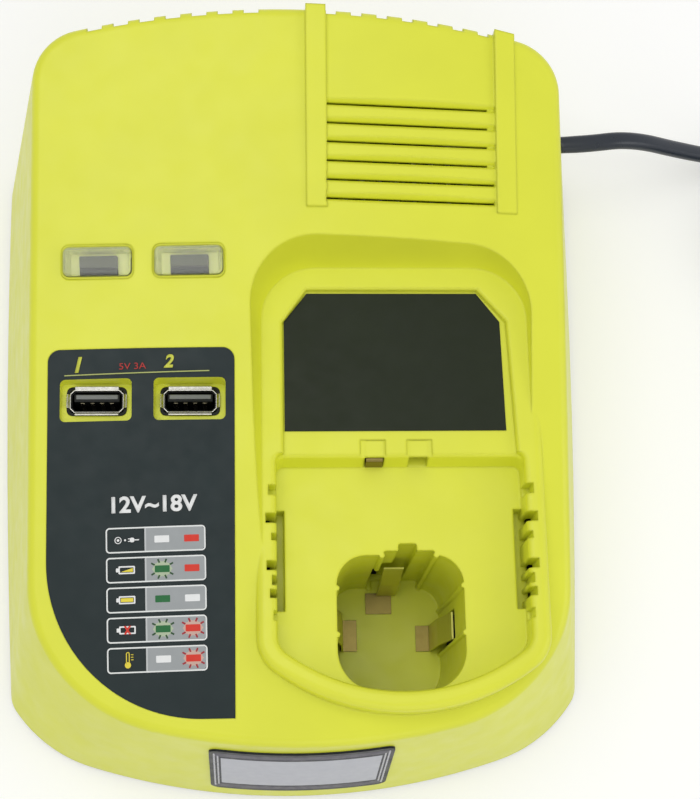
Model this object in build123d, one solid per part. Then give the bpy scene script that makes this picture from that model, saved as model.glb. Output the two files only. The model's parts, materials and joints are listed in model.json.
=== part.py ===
"""Power tool battery charger: a two-shell housing with a battery bay, a stem well, two USB sockets,
two status lamps, a louvred vent and a flat mains cord.

Millimetres. +Z is up, +Y is the back of the charger, +X is its right-hand side seen from the front.
The origin is on the floor, below the middle of the housing.
"""
from build123d import *
from math import asin, cos, degrees, hypot, pi, radians, sin, tan
import os

os.makedirs("parts", exist_ok=True)

# ---------------------------------------------------------------------------------------------
# Driving dimensions
# ---------------------------------------------------------------------------------------------
# Housing: overall form
HOUSING_WIDTH = 164.0
SIDE = HOUSING_WIDTH / 2    # the right-hand side, where the cord leaves
HOUSING_FRONT = -98.0
HOUSING_BACK = 98.0
HOUSING_TOP = 82.2          # highest line of the crowned top, at the back edge
TOP_SLOPE = 9.4             # degrees, the top falls towards the front
TOP_BACK_EDGE = 94.0
CROWN_RADIUS = 463.0
CROWN_X = -12.0
WALL = 2.5
TOP_EDGE_RADIUS = 2.4

# Outline of the skirt where it meets the floor
BASE_FRONT_TURN = 17.7
BASE_CORNER_RADIUS = 39.5
BASE_CORNER_TURN = 37.4
BASE_KINK_RADIUS = 7.5
BASE_SIDE_HEADING = 86.3
BASE_BACK_CORNER = 16.0
BASE_BACK_RADIUS = 290.0

# Outline of the top, in a plane that lies above the crown and has its slope
RIM_PLANE_LIFT = 4.0
RIM_WIDTH = 130.4
RIM_FRONT = -87.0
RIM_BACK = 93.8
RIM_FRONT_RADIUS = 150.0
RIM_CORNER_RADIUS = 41.0
RIM_CORNER_SPLIT = 65.0
RIM_BACK_CORNER = 13.0
RIM_BACK_RADIUS = 300.0

# Ribs that stand on the back wall between grooves, in two rows
BACK_GROOVE_PITCH = 6.57
BACK_GROOVE_DEPTH = 1.7
BACK_GROOVE_COUNT = 7
BACK_GROOVE_FOOT = 34.0
LEFT_GROOVES_START = -53.2
LEFT_GROOVE_WIDTH = 3.7
RIGHT_GROOVES_START = 6.8
RIGHT_GROOVE_WIDTH = 2.8

# Rails and louvre above the heat sink
RAIL_WIDTH = 5.2
RAIL_HEIGHT = 1.6
RAIL_FADE = 1.0             # degrees, the rails sink into the top towards the front
RAIL_FRONT = 43.0
LOUVRE_LEFT = 6.9
LOUVRE_RIGHT = 50.3
LOUVRE_BACK = 69.4
LOUVRE_PITCH = 4.8
LOUVRE_COUNT = 6
LOUVRE_DEPTH = 1.5
SLIT_WIDTH = 0.55

# Battery bay
BAY_X = 24.8
DECK_TOP = 52.0
DECK_HALF_WIDTH = 31.0
DECK_FRONT_RADIUS = 49.0
DECK_FRONT = -75.7
DECK_FRONT_CORNER = 5.0
DECK_BACK_CORNER = 2.0
LEDGE_Y = -17.7
LEDGE_RUN = 1.3
LEDGE_EDGE = 0.8
PLATFORM_TOP = 58.0
PLATFORM_FRONT = LEDGE_Y - 1.0
PLATFORM_POINTS = ((-4.3, PLATFORM_FRONT), (54.3, PLATFORM_FRONT), (52.8, 17.5), (45.6, 25.9), (1.9, 25.9),
                   (-4.3, 17.2))
COLLAR_TOP = 60.0           # level of the rim round the deck and of the shoulder round the platform
COLLAR_WIDTH = 5.0
COLLAR_ROUND = 2.2
COLLAR_EDGE = 1.1           # the rim's inner edge and the shoulder's are softened this much
COLLAR_BACK = 20.0          # the rim runs back this far and dies into the sloping top
SHOULDER_LEFT = -9.7
SHOULDER_RIGHT = 58.2
SHOULDER_BACK = 31.6
SHOULDER_CORNER = 14.0
BAY_MOUTH_LIFT = 6.0        # the mouth is drawn in a plane this far above the crown
BAY_MOUTH_LEFT = -14.2
BAY_MOUTH_RIGHT = 60.3
BAY_MOUTH_BACK = 38.8
BAY_MOUTH_CORNER = 19.0
BAY_MOUTH_FRONT = -60.0     # beyond the end of the slope

# Latch slots along both sides of the deck, and the rows of small pockets in the walls above them
SLOT_BACK = -30.0
SLOT_FRONT = -55.2
SLOT_WIDTH = 2.1
SLOT_DEPTH = 5.0
SLOT_WALL = 1.5
WALL_POCKETS = (                    # (back, front, depth into the wall)
    (-24.9, -27.5, 2.0),
    (-32.0, -34.5, 2.7),
    (-37.0, -38.8, 1.3),
    (-43.8, -46.2, 2.5),
    (-47.4, -49.8, 1.2),
    (-50.8, -53.0, 1.7),
    (-56.0, -58.4, 0.9),
)
POCKET_SHELF = 1.2                  # beside the slots the wall pockets stop this far above the deck

# Two openings in the ledge, the left one with a contact, and a shallow pad behind each
TUNNEL_X = (18.5, 29.6)
TUNNEL_WIDTH = 4.8
TUNNEL_FLOOR_RISE = 0.3
TUNNEL_ROOF = 0.8
TUNNEL_DEPTH = 6.7
CONTACT_PROUD = 0.7                 # the contact's upper front edge stands out of the ledge
PAD_X = (18.1, 29.8)
PAD_WIDTH = 6.4
PAD_LENGTH = 4.5
PAD_DEPTH = 0.5

# Stem well
WELL_X = 24.6
WELL_HALF_WIDTH = 15.9
WELL_BACK = -41.4
WELL_FRONT = DECK_FRONT + 0.3
WELL_FRONT_RADIUS = DECK_FRONT_RADIUS - 0.3
WELL_FRONT_CORNER = 10.0
WELL_BACK_CORNER = 7.5
WELL_PANEL = (20.6, 33.5)   # flat panel in the back wall, set back by WELL_PANEL_DEPTH
WELL_PANEL_DEPTH = 1.1
WELL_FLOOR_THICKNESS = 1.9
WELL_WALL = 1.8
WELL_DRAFT = 1.3            # degrees
WELL_NOTCH_X = (24.3, 29.0)
WELL_NOTCH_DEPTH = 2.9
WELL_FLANGE = 2.5
WELL_RIB_RADIUS = 0.7
WELL_RIBS = (               # (x, y, direction of the wall's inner side in x and y)
    (20.2, WELL_BACK, 0, -1),
    (33.9, WELL_BACK, 0, -1),
    (40.5, -49.1, -1, 0),
    (40.5, -60.8, -1, 0),
    (8.7, -49.5, 1, 0),
    (8.7, -61.0, 1, 0),
)

# Lamps and USB sockets
LAMP_X = (-50.2, -27.6)
LAMP_Y = 29.5
LENS_LENGTH = 17.2
LENS_WIDTH = 8.0
LENS_CORNER = 1.6
LENS_RISE = 0.9
USB_X = (-50.4, -27.4)
USB_Y = -3.8
USB_MOUTH = 61.5
USB_DEPTH = 14.0
USB_SHELL_LENGTH = 13.1
USB_SHELL_WIDTH = 5.7
POCKET_LENGTH = 17.6
POCKET_WIDTH = 10.3
POCKET_FLOOR = 60.5
POCKET_Y = -4.4
POCKET_WALL = 1.9

# Labels and badge
LABEL_LEFT = -62.2
LABEL_RIGHT = -16.4
LABEL_BACK = 8.0
LABEL_FRONT = -81.0
LABEL_SWEEP = 38.0
LABEL_CORNER = 3.0
LABEL_THICKNESS = 0.25
RATING_THICKNESS = 0.25
RATING_POINTS = ((-3.9, -11.0), (51.9, -11.0), (51.4, 17.7), (45.6, 25.3), (2.0, 25.3), (-3.9, 17.7))
BADGE_HALF_LENGTH = 23.0
BADGE_LOW = 10.0
BADGE_HIGH = 45.5
BADGE_THICKNESS = 0.6
BADGE_CORNER = 2.5

# Fit and fastening
CLEARANCE = 0.3
SKIN_GAP = 0.02            # between a film or sleeve and what it lies in
THREAD_GAP = 0.05
SCREW_SHANK_RADIUS = 1.5
SCREW_HEAD_RADIUS = 2.9
SCREW_HEAD_HEIGHT = 2.2
HEAD_SEAT = 5.2             # height of the seat under the screw heads
CUP_RADIUS = 5.5
BOSS_RADIUS = 4.0
BOARD_THICKNESS = 1.6

SHELL_SCREW_PLACES = ((-60.0, 56.0), (60.0, 56.0), (-62.0, -50.0), (62.0, -50.0))
SHELL_SCREW_LENGTH = 14.0
BOSS_FOOT = 7.0

# Base cover
SKIRT_FOOT = 1.5
COVER_THICKNESS = 2.2
COVER_INSET = 3.9
LIP_INSET = 4.5
LIP_THICKNESS = 1.5
LIP_TOP = 6.0
FOOT_RADIUS = 6.0
FOOT_SET = 1.0              # the feet stand in recesses of this depth
FOOT_PLACES = ((-63.0, 78.0), (63.0, 78.0), (-57.0, -70.0), (57.0, -70.0))
KEYHOLE_X = 38.0
KEYHOLE_Y = 20.0
KEYHOLE_RADIUS = 4.0
KEYHOLE_SLOT = 4.4
KEYHOLE_RUN = 9.0
BASE_SLIT_COUNT = 6
BASE_SLIT_PITCH = 5.0
BASE_SLIT_WIDTH = 2.0
BASE_SLIT_LENGTH = 30.0
BASE_SLIT_Y = 34.0

# Main board and what stands on it
BOARD_BOTTOM = 12.0
BOARD_HALF_WIDTH = 54.0
BOARD_FRONT = -30.0
BOARD_BACK = 84.0
BOARD_SCREW_X = 50.0
BOARD_SCREW_Y = (-26.0, 80.0)
BOARD_SCREW_RADIUS = 1.2
BOARD_SCREW_LENGTH = 9.0
CORE_PLACE = (-20.0, 40.0)
CORE_SIZE = (34.0, 14.0, 29.0)
CORE_LEG = 10.0
CORE_WINDOW = (7.0, 19.0)
WINDING_WALL = 5.0
INPUT_CAPACITOR = (-40.0, 66.0, 9.0, 28.0)          # x, y, radius, height
OUTPUT_CAPACITORS = ((18.0, -14.0), (31.0, -14.0), (44.0, -14.0))
OUTPUT_CAPACITOR_RADIUS = 5.0
OUTPUT_CAPACITOR_HEIGHT = 20.0
SINK_X = 27.0
SINK_Y = 50.0
SINK_WIDTH = 38.0
SINK_HEIGHT = 36.0
SINK_PLATE = 2.5
SINK_FIN = 1.2
SINK_FIN_DEPTH = 14.0
SINK_FIN_COUNT = 9
TRANSISTOR_SIZE = (10.0, 4.4, 15.4)
CHOKE_PLACE = (-4.5, 74.0)
CHOKE_RADIUS = 8.0
CHOKE_HOLE = 4.0
CHOKE_LENGTH = 10.0
FUSE_PLACE = (36.0, 76.0)
FUSE_RADIUS = 2.6
FUSE_LENGTH = 20.0
FILM_PLACE = (14.0, 78.0)
FILM_SIZE = (17.0, 7.5, 13.0)
BRIDGE_PLACE = (-24.0, 80.0)
BRIDGE_SIZE = (20.0, 3.6, 14.0)

# USB board and lamp board
USB_BOARD = (-63.0, -15.0, -21.0, 13.5)
USB_BOARD_POSTS = ((-38.9, 9.6), (-38.9, -17.2))
SMALL_POST_RADIUS = 3.0
SMALL_SCREW_RADIUS = 1.0
SMALL_SCREW_LENGTH = 7.0
USB_SHEET = 0.3
USB_FLARE = 0.6
USB_TONGUE = (11.1, 1.9)
USB_TONGUE_SHIFT = 0.9
USB_CONTACT_PITCH = 2.4
LAMP_BOARD_DROP = 7.5
LAMP_BOARD_SIZE = (41.0, 22.0)
LAMP_POST_Y = 8.5
LAMP_SCREW_LENGTH = 4.0     # in the post
LED_SIZE = (9.2, 4.2, 3.0)
LENS_WALL = 1.3
LENS_FLANGE = 1.1
LENS_FLANGE_DROP = 3.25

# Contacts in the stem well: bent sheet, each leaf stands over its own floor plate
SHEET = 0.5
LEAF_HEIGHT = 26.0
LEAF_FOOT_GAP = 0.3
LEAF_LEAN = 3.1
REAR_LEAF_X = (22.2, 27.5)
REAR_PLATE = (19.2, 26.3, -49.6, -43.9)
REAR_LEAF_FOOT = -44.5
RIGHT_LEAF_Y = (-60.0, -53.0)
RIGHT_PLATE = (32.8, 37.2, -60.0, -53.0)
RIGHT_LEAF_FOOT = 36.6
LEFT_LEAF_Y = (-59.8, -51.3)
LEFT_PLATE = (12.0, 16.6, -59.8, -51.3)
LEFT_LEAF_FOOT = 12.6
WINDOW_HIGH = 34.0
WINDOW_MARGIN = 0.7

# Cord entry
CORD_RADIUS = 2.2
CORD_EXIT_Y = 80.5
CORD_EXIT_Z = 28.2
RELIEF_RADIUS = 4.2
RELIEF_FLANGE = 6.0
RELIEF_START = SIDE - 26.0
RELIEF_FLANGE_X = SIDE - 12.0
CRADLE_X = (SIDE - 24.5, SIDE - 17.5)
CRADLE_FRONT = 9.0          # reach of the cradle to the front and to the back of the cord
CRADLE_BACK = 4.8
CLAMP_HEIGHT = 5.0
CLAMP_SCREW_SHIFT = 6.6

# Free cord: the points of its route, the coil that takes the rest of its length, and the plug
CORD_ROUTE = (
    (SIDE - 17.5, CORD_EXIT_Y, CORD_EXIT_Z),
    (SIDE - 1.5, CORD_EXIT_Y, CORD_EXIT_Z),
    (SIDE + 15.0, 83.2, 26.6),
    (SIDE + 33.5, 85.4, 14.6),
    (SIDE + 52.5, 87.0, 5.4),
    (SIDE + 72.0, 88.0, 4.4),
)
COIL_CENTRE = (SIDE + 81.0, 60.0, 8.0)
COIL_RADIUS = 24.0
COIL_SECTION = 7.2
TIE_THICKNESS = 0.7
TIE_WIDTH = 9.0
LEAD_ROUTE = (
    (SIDE + 109.0, 51.0, 11.5),
    (SIDE + 108.6, 32.0, 4.0),
    (SIDE + 111.5, 11.0, 6.5),
    (SIDE + 111.5, -8.0, 6.5),
)
PLUG_NECK = 20.0
PLUG_GRIP = 18.0
PLUG_WIDTH = 24.0
PLUG_HEIGHT = 13.0
BLADE_LENGTH = 17.0
BLADE_WIDTH = 6.35
BLADE_THICKNESS = 1.52
BLADE_SPACING = 12.7


# Levels and places that follow from the sizes above
SKY = HOUSING_TOP + 20.0            # above everything, for cuts that run out upwards
DECK_BACK = LEDGE_Y - LEDGE_RUN
DECK_UNDER = DECK_TOP - WALL
COVER_TOP = SKIRT_FOOT + COVER_THICKNESS
WELL_BOTTOM = COVER_TOP
WELL_FLOOR = WELL_BOTTOM + WELL_FLOOR_THICKNESS
BOARD_TOP = BOARD_BOTTOM + BOARD_THICKNESS
USB_BOARD_TOP = USB_MOUTH - USB_DEPTH
LAMP_SPREAD = (LAMP_X[1] - LAMP_X[0]) / 2


# ---------------------------------------------------------------------------------------------
# Helpers
# ---------------------------------------------------------------------------------------------
def rim_height(y):
    """Height of the crown line above the floor at the depth y."""
    return HOUSING_TOP + (y - TOP_BACK_EDGE) * tan(radians(TOP_SLOPE))


def top_height(x, y):
    """Height of the crowned top at (x, y)."""
    return rim_height(y) - (x - CROWN_X) ** 2 / (2.0 * CROWN_RADIUS)


def chain(start, arcs):
    """Walk tangent arcs from `start`, heading +X and turning left.

    Each item of `arcs` is (radius, turn in degrees), or (length, None) for a straight run.
    Returns a list of (start, middle, end) points, with None in the middle of a straight run.
    """
    x, y = start
    heading = 0.0
    legs = []
    for size, turn in arcs:
        first = (x, y)
        if turn is None:
            x += size * cos(radians(heading))
            y += size * sin(radians(heading))
            legs.append((first, None, (x, y)))
            continue
        cx = x - size * sin(radians(heading))
        cy = y + size * cos(radians(heading))
        half = radians(heading + turn / 2.0)
        middle = (cx + size * sin(half), cy - size * cos(half))
        heading += turn
        x = cx + size * sin(radians(heading))
        y = cy - size * cos(radians(heading))
        legs.append((first, middle, (x, y)))
    return legs


def mirrored_face(legs):
    """Face of a half outline from front centre to back centre and its mirror image."""
    def leg_edge(leg, side):
        first, middle, last = [None if p is None else (side * p[0], p[1]) for p in leg]
        return Line(first, last) if middle is None else ThreePointArc(first, middle, last)

    front, back = legs[0], legs[-1]
    edges = [ThreePointArc((-front[2][0], front[2][1]), front[0], front[2])]
    edges += [leg_edge(leg, 1) for leg in legs[1:-1]]
    edges.append(ThreePointArc(back[0], back[2], (-back[0][0], back[0][1])))
    edges += [leg_edge(leg, -1) for leg in legs[1:-1]]
    face = make_face(Wire(edges)).face()
    return face if face.normal_at().Z > 0 else -face


def base_outline(inset=0.0):
    """Skirt outline on the floor: bulged front, cut corners with a small kink, bulged sides."""
    half = HOUSING_WIDTH / 2.0
    length = HOUSING_BACK - HOUSING_FRONT
    a1 = radians(BASE_FRONT_TURN)
    a2 = radians(BASE_FRONT_TURN + BASE_CORNER_TURN)
    a3 = radians(BASE_SIDE_HEADING)
    back_turn = degrees(asin((half - BASE_BACK_CORNER) / (BASE_BACK_RADIUS - BASE_BACK_CORNER)))
    a4 = radians(180.0 - back_turn)
    # The front and side radii follow from the overall width and length.
    x_left = half - BASE_CORNER_RADIUS * (sin(a2) - sin(a1)) - BASE_KINK_RADIUS * (sin(a3) - sin(a2))
    y_left = length - BASE_CORNER_RADIUS * (cos(a1) - cos(a2)) - BASE_KINK_RADIUS * (cos(a2) - cos(a3))
    y_left -= BASE_BACK_CORNER * (-cos(a4)) + BASE_BACK_RADIUS * (1.0 + cos(a4))
    fx, fy = sin(a1), 1.0 - cos(a1)
    sx, sy = 1.0 - sin(a3), cos(a3)
    det = fx * sy - fy * sx
    front_radius = (x_left * sy - y_left * sx) / det
    side_radius = (fx * y_left - fy * x_left) / det
    arcs = [
        (front_radius - inset, BASE_FRONT_TURN),
        (BASE_CORNER_RADIUS - inset, BASE_CORNER_TURN),
        (BASE_KINK_RADIUS - inset, BASE_SIDE_HEADING - BASE_FRONT_TURN - BASE_CORNER_TURN),
        (side_radius - inset, 90.0 - BASE_SIDE_HEADING),
        (BASE_BACK_CORNER - inset, 90.0 - back_turn),
        (BASE_BACK_RADIUS - inset, back_turn),
    ]
    return mirrored_face(chain((0.0, HOUSING_FRONT + inset), arcs))


def rim_outline(inset=0.0):
    """Outline of the top, drawn in the sloping plane, so its lengths run along the slope."""
    half = RIM_WIDTH / 2.0
    stretch = 1.0 / cos(radians(TOP_SLOPE))
    front_turn = degrees(asin((half - RIM_CORNER_RADIUS) / (RIM_FRONT_RADIUS - RIM_CORNER_RADIUS)))
    back_turn = degrees(asin((half - RIM_BACK_CORNER) / (RIM_BACK_RADIUS - RIM_BACK_CORNER)))
    a1, a4 = radians(front_turn), radians(180.0 - back_turn)
    run = (RIM_BACK - RIM_FRONT) * stretch - RIM_FRONT_RADIUS * (1.0 - cos(a1))
    run -= RIM_CORNER_RADIUS * cos(a1) - RIM_BACK_CORNER * cos(a4) + RIM_BACK_RADIUS * (1.0 + cos(a4))
    arcs = [
        (RIM_FRONT_RADIUS - inset, front_turn),
        (RIM_CORNER_RADIUS - inset, RIM_CORNER_SPLIT - front_turn),
        (RIM_CORNER_RADIUS - inset, 90.0 - RIM_CORNER_SPLIT),
        (run, None),
        (RIM_BACK_CORNER - inset, 90.0 - back_turn),
        (RIM_BACK_RADIUS - inset, back_turn),
    ]
    return mirrored_face(chain((0.0, RIM_FRONT * stretch + inset), arcs))


def sloping_plane(lift=0.0):
    """Plane with the slope of the top, `lift` above the crown line, with its origin at y = 0."""
    slope = radians(TOP_SLOPE)
    return Plane(origin=(0, 0, rim_height(0.0) + lift), x_dir=(1, 0, 0), z_dir=(0, -sin(slope), cos(slope)))


def housing_form(inset=0.0):
    """Tapered body between the floor outline and the sloping top outline."""
    top = sloping_plane(RIM_PLANE_LIFT) * rim_outline(inset)
    return loft([base_outline(inset), top], ruled=True)


def crown(drop=0.0, fade=0.0):
    """Long cylinder whose upper side is the crowned top, lowered by `drop`."""
    slope = radians(TOP_SLOPE + fade)
    axis = Vector(0, cos(slope), sin(slope))
    normal = Vector(0, -sin(slope), cos(slope))
    ridge = Vector(CROWN_X, TOP_BACK_EDGE, HOUSING_TOP)
    centre = ridge - normal * CROWN_RADIUS
    body = Cylinder(CROWN_RADIUS - drop, 3.0 * (HOUSING_BACK - HOUSING_FRONT))
    return Plane(origin=centre, z_dir=axis) * body


def block(x0, x1, y0, y1, z0, z1):
    """Box between the given limits."""
    return Pos((x0 + x1) / 2, (y0 + y1) / 2, (z0 + z1) / 2) * Box(x1 - x0, y1 - y0, z1 - z0)


def disc(x, y, z0, z1, radius):
    """Upright cylinder between two heights."""
    return Pos(x, y, z0) * Cylinder(radius, z1 - z0, align=(Align.CENTER, Align.CENTER, Align.MIN))


def prism(face, z0, z1):
    """Plan face drawn at z = 0 as an upright prism between two heights."""
    return Pos(0, 0, z0) * extrude(face, z1 - z0)


def tower(*levels):
    """Solid with straight sides through plan faces at rising heights, given as (height, face)."""
    return loft([Pos(0, 0, height) * face for height, face in levels], ruled=True)


def rounded(x0, x1, y0, y1, radius):
    """Plan rectangle with round corners."""
    return Pos((x0 + x1) / 2, (y0 + y1) / 2) * RectangleRounded(x1 - x0, y1 - y0, radius)


def save(name, shape):
    """Write one node."""
    export_step(shape, "parts/" + name + ".step")


# ---------------------------------------------------------------------------------------------
# Battery bay: plan outlines
# ---------------------------------------------------------------------------------------------
def arched_face(x, half, back, front, radius, front_corner, back_corner):
    """Plan outline with straight sides, a wide arc at the front and rounded corners."""
    centre_y = front + radius
    meeting = centre_y - (radius ** 2 - half ** 2) ** 0.5
    left, right = x - half, x + half
    edges = [
        ThreePointArc((left, meeting), (x, front), (right, meeting)),
        Line((right, meeting), (right, back)),
        Line((right, back), (left, back)),
        Line((left, back), (left, meeting)),
    ]
    face = make_face(Wire(edges))
    corners = face.vertices().sort_by(Axis.Y)
    face = fillet(corners[:2], front_corner)
    corners = face.vertices().sort_by(Axis.Y)
    return fillet(corners[-2:], back_corner)


def deck_face(grow=0.0, back=DECK_BACK):
    """Lower deck in plan, made larger by `grow` at its front and sides."""
    return arched_face(BAY_X, DECK_HALF_WIDTH + grow, back, DECK_FRONT - grow, DECK_FRONT_RADIUS + grow,
                       DECK_FRONT_CORNER + grow, DECK_BACK_CORNER)


def platform_face(grow=0.0):
    """Outline of the platform: a rectangle with its two back corners cut off."""
    face = make_face(Polyline(*PLATFORM_POINTS, close=True)).face()
    return offset(face, grow, kind=Kind.INTERSECTION) if grow else face


def bay_mouth(inset=0.0):
    """Void above the shoulder, which opens upwards to the mouth in the sloping top."""
    floor = rounded(SHOULDER_LEFT - inset, SHOULDER_RIGHT + inset, BAY_MOUTH_FRONT, SHOULDER_BACK + inset,
                    SHOULDER_CORNER + inset)
    stretch = 1.0 / cos(radians(TOP_SLOPE))
    mouth = rounded(BAY_MOUTH_LEFT - inset, BAY_MOUTH_RIGHT + inset, BAY_MOUTH_FRONT * stretch,
                    (BAY_MOUTH_BACK + inset) * stretch, BAY_MOUTH_CORNER + inset)
    return loft([Pos(0, 0, COLLAR_TOP) * floor, sloping_plane(BAY_MOUTH_LIFT) * mouth], ruled=True)


# ---------------------------------------------------------------------------------------------
# Battery bay: voids and their walls
# ---------------------------------------------------------------------------------------------
def bay_void():
    """Everything that is open above the platform and the deck."""
    edge_back = LEDGE_Y + LEDGE_EDGE
    soft = COLLAR_TOP - COLLAR_EDGE
    deck = tower(
        (DECK_TOP, deck_face()),
        (PLATFORM_TOP - LEDGE_EDGE, deck_face(back=LEDGE_Y)),
        (PLATFORM_TOP, deck_face(back=edge_back)),
        (soft, deck_face(back=edge_back)),
        (COLLAR_TOP - COLLAR_EDGE / 3, deck_face(grow=COLLAR_EDGE / 3, back=edge_back)),
        (COLLAR_TOP, deck_face(grow=COLLAR_EDGE, back=edge_back)),
    )
    soft = COLLAR_TOP - COLLAR_EDGE / 2
    platform = tower((PLATFORM_TOP, platform_face()), (soft, platform_face()),
                     (COLLAR_TOP, platform_face(COLLAR_EDGE / 2)))
    return bay_mouth() + deck + platform


def bay_walls():
    """Solid region that carries the walls and floors of the bay."""
    mouth = Pos(0, 0, -WALL) * bay_mouth(inset=WALL)
    platform = prism(platform_face(WALL), PLATFORM_TOP - WALL, COLLAR_TOP)
    deck = prism(deck_face(grow=COLLAR_WIDTH, back=LEDGE_Y + WALL), DECK_UNDER, COLLAR_TOP)
    contact_box = tunnel(TUNNEL_X[0], wall=SLOT_WALL)
    return mouth + platform + deck + latch_slots(wall=SLOT_WALL) + contact_box


def collar():
    """Raised rim that guards the deck at the front and the sides, with the deck's floor."""
    body = prism(deck_face(grow=COLLAR_WIDTH, back=COLLAR_BACK), DECK_UNDER - WALL, COLLAR_TOP)
    return fillet(body.faces().sort_by(Axis.Z)[-1].edges(), COLLAR_ROUND)


def latch_slots(wall=0.0):
    """Both latch slots, widened by `wall` for the pocket walls."""
    slots = Part()
    for side in (-1, 1):
        outer = BAY_X + side * DECK_HALF_WIDTH
        inner = outer - side * SLOT_WIDTH
        low, high = min(inner, outer) - wall, max(inner, outer) + wall
        slots += block(low, high, SLOT_FRONT - wall, SLOT_BACK + wall,
                       DECK_TOP - SLOT_DEPTH - wall, DECK_TOP + (0 if wall else 1))
    return slots


def wall_pockets():
    """Rows of small pockets in the two side walls of the deck."""
    pockets = Part()
    for side in (-1, 1):
        face = BAY_X + side * DECK_HALF_WIDTH
        for back, front, depth in WALL_POCKETS:
            beside_slot = back <= SLOT_BACK and front >= SLOT_FRONT
            foot = DECK_TOP - SLOT_DEPTH if beside_slot else DECK_TOP + POCKET_SHELF
            low, high = sorted((face - side * 0.5, face + side * depth))
            pockets += block(low, high, front, back, foot, SKY)
    return pockets


def tunnel(x, wall=0.0):
    """Opening that runs back from the ledge, widened by `wall` for its walls."""
    half = TUNNEL_WIDTH / 2 + wall
    return block(x - half, x + half, DECK_BACK - 2, LEDGE_Y + TUNNEL_DEPTH + wall,
                 DECK_TOP + TUNNEL_FLOOR_RISE - wall, PLATFORM_TOP - TUNNEL_ROOF)


def ledge_pads():
    """Shallow pads on the platform behind the ledge openings."""
    pads = Part()
    for x in PAD_X:
        pads += block(x - PAD_WIDTH / 2, x + PAD_WIDTH / 2, LEDGE_Y - 1, LEDGE_Y + PAD_LENGTH,
                      PLATFORM_TOP - PAD_DEPTH, SKY)
    return pads


def well_face(grow=0.0):
    """Mouth of the stem well in plan, with its front arc close to the deck's."""
    return arched_face(WELL_X, WELL_HALF_WIDTH + grow, WELL_BACK + grow, WELL_FRONT - grow,
                       WELL_FRONT_RADIUS + grow, WELL_FRONT_CORNER + grow, WELL_BACK_CORNER + grow)


def well_recesses(grow=0.0):
    """Flat panel in the back wall of the well and the keying groove in it, in plan."""
    front = WELL_BACK - WELL_BACK_CORNER / 2
    face = rounded(WELL_PANEL[0] - grow, WELL_PANEL[1] + grow, front, WELL_BACK + WELL_PANEL_DEPTH + grow,
                   WELL_RIB_RADIUS)
    return face + rounded(WELL_NOTCH_X[0] - grow, WELL_NOTCH_X[1] + grow, front,
                          WELL_BACK + WELL_NOTCH_DEPTH + grow, WELL_RIB_RADIUS)


# ---------------------------------------------------------------------------------------------
# Top details
# ---------------------------------------------------------------------------------------------
LEFT_RAIL_X = LOUVRE_LEFT - RAIL_WIDTH / 2
RIGHT_RAIL_X = LOUVRE_RIGHT + RAIL_WIDTH / 2


def rails():
    """Two ridges beside the louvre, which rise towards the back edge."""
    raised = housing_form() & crown(drop=-RAIL_HEIGHT, fade=RAIL_FADE)
    bars = Part()
    for x in (LEFT_RAIL_X, RIGHT_RAIL_X):
        bars += block(x - RAIL_WIDTH / 2, x + RAIL_WIDTH / 2, RAIL_FRONT, SKY, 40, SKY)
    return raised & bars


def louvre_plane():
    """Plane on the top, level with the middle of the louvre and with both slopes of the crown."""
    middle = (LOUVRE_LEFT + LOUVRE_RIGHT) / 2
    fall = (middle - CROWN_X) / CROWN_RADIUS
    slope = radians(TOP_SLOPE)
    x_dir = Vector(1, 0, -fall)
    y_dir = Vector(0, cos(slope), sin(slope))
    return Plane(origin=(middle, LOUVRE_BACK, top_height(middle, LOUVRE_BACK)), x_dir=x_dir,
                 z_dir=x_dir.cross(y_dir))


def louvre_grooves():
    """V-shaped valleys between the slats."""
    profile = make_face(Polyline(
        (1.9, 0.35), (0.25, -LOUVRE_DEPTH), (-0.25, -LOUVRE_DEPTH), (-1.35, 0.35), (-1.35, 2.0), (1.9, 2.0),
        close=True))
    valley = extrude(Plane.YZ * profile, (LOUVRE_RIGHT - LOUVRE_LEFT) / 2, both=True)
    run = LOUVRE_PITCH / cos(radians(TOP_SLOPE))
    return [louvre_plane() * Pos(0, -k * run, 0) * valley for k in range(LOUVRE_COUNT)]


def louvre_slits():
    """Open slits along the bottom of the valleys. All but the front two stop short on the right."""
    run = LOUVRE_PITCH / cos(radians(TOP_SLOPE))
    length = LOUVRE_RIGHT - LOUVRE_LEFT
    slits = []
    for k in range(LOUVRE_COUNT):
        short = 1.8 if k < LOUVRE_COUNT - 2 else 0.0
        slit = Box(length - short, SLIT_WIDTH, 4 * WALL)
        slits.append(louvre_plane() * Pos(-short / 2, -k * run, -LOUVRE_DEPTH) * slit)
    return slits


def back_grooves():
    """Grooves in the back wall that leave the ribs standing, left and right of the middle block."""
    grooves = []
    rows = ((LEFT_GROOVES_START, LEFT_GROOVE_WIDTH), (RIGHT_GROOVES_START, RIGHT_GROOVE_WIDTH))
    for start, width in rows:
        for k in range(BACK_GROOVE_COUNT):
            x = start + k * BACK_GROOVE_PITCH
            grooves.append(block(x, x + width, 0, 2 * HOUSING_BACK, BACK_GROOVE_FOOT, SKY))
    return grooves


def lamp_plane():
    """Plane tangent to the top, midway between the two lamps."""
    x = sum(LAMP_X) / 2
    fall = (x - CROWN_X) / CROWN_RADIUS
    slope = radians(TOP_SLOPE)
    x_dir = Vector(1, 0, -fall)
    y_dir = Vector(0, cos(slope), sin(slope))
    return Plane(origin=(x, LAMP_Y, top_height(x, LAMP_Y)), x_dir=x_dir, z_dir=x_dir.cross(y_dir))


def at_lamp(side, shape):
    """Place a shape, drawn about the lamp's centre, at the left (-1) or right (1) lamp."""
    return lamp_plane() * Pos(side * LAMP_SPREAD, 0, 0) * shape


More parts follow.
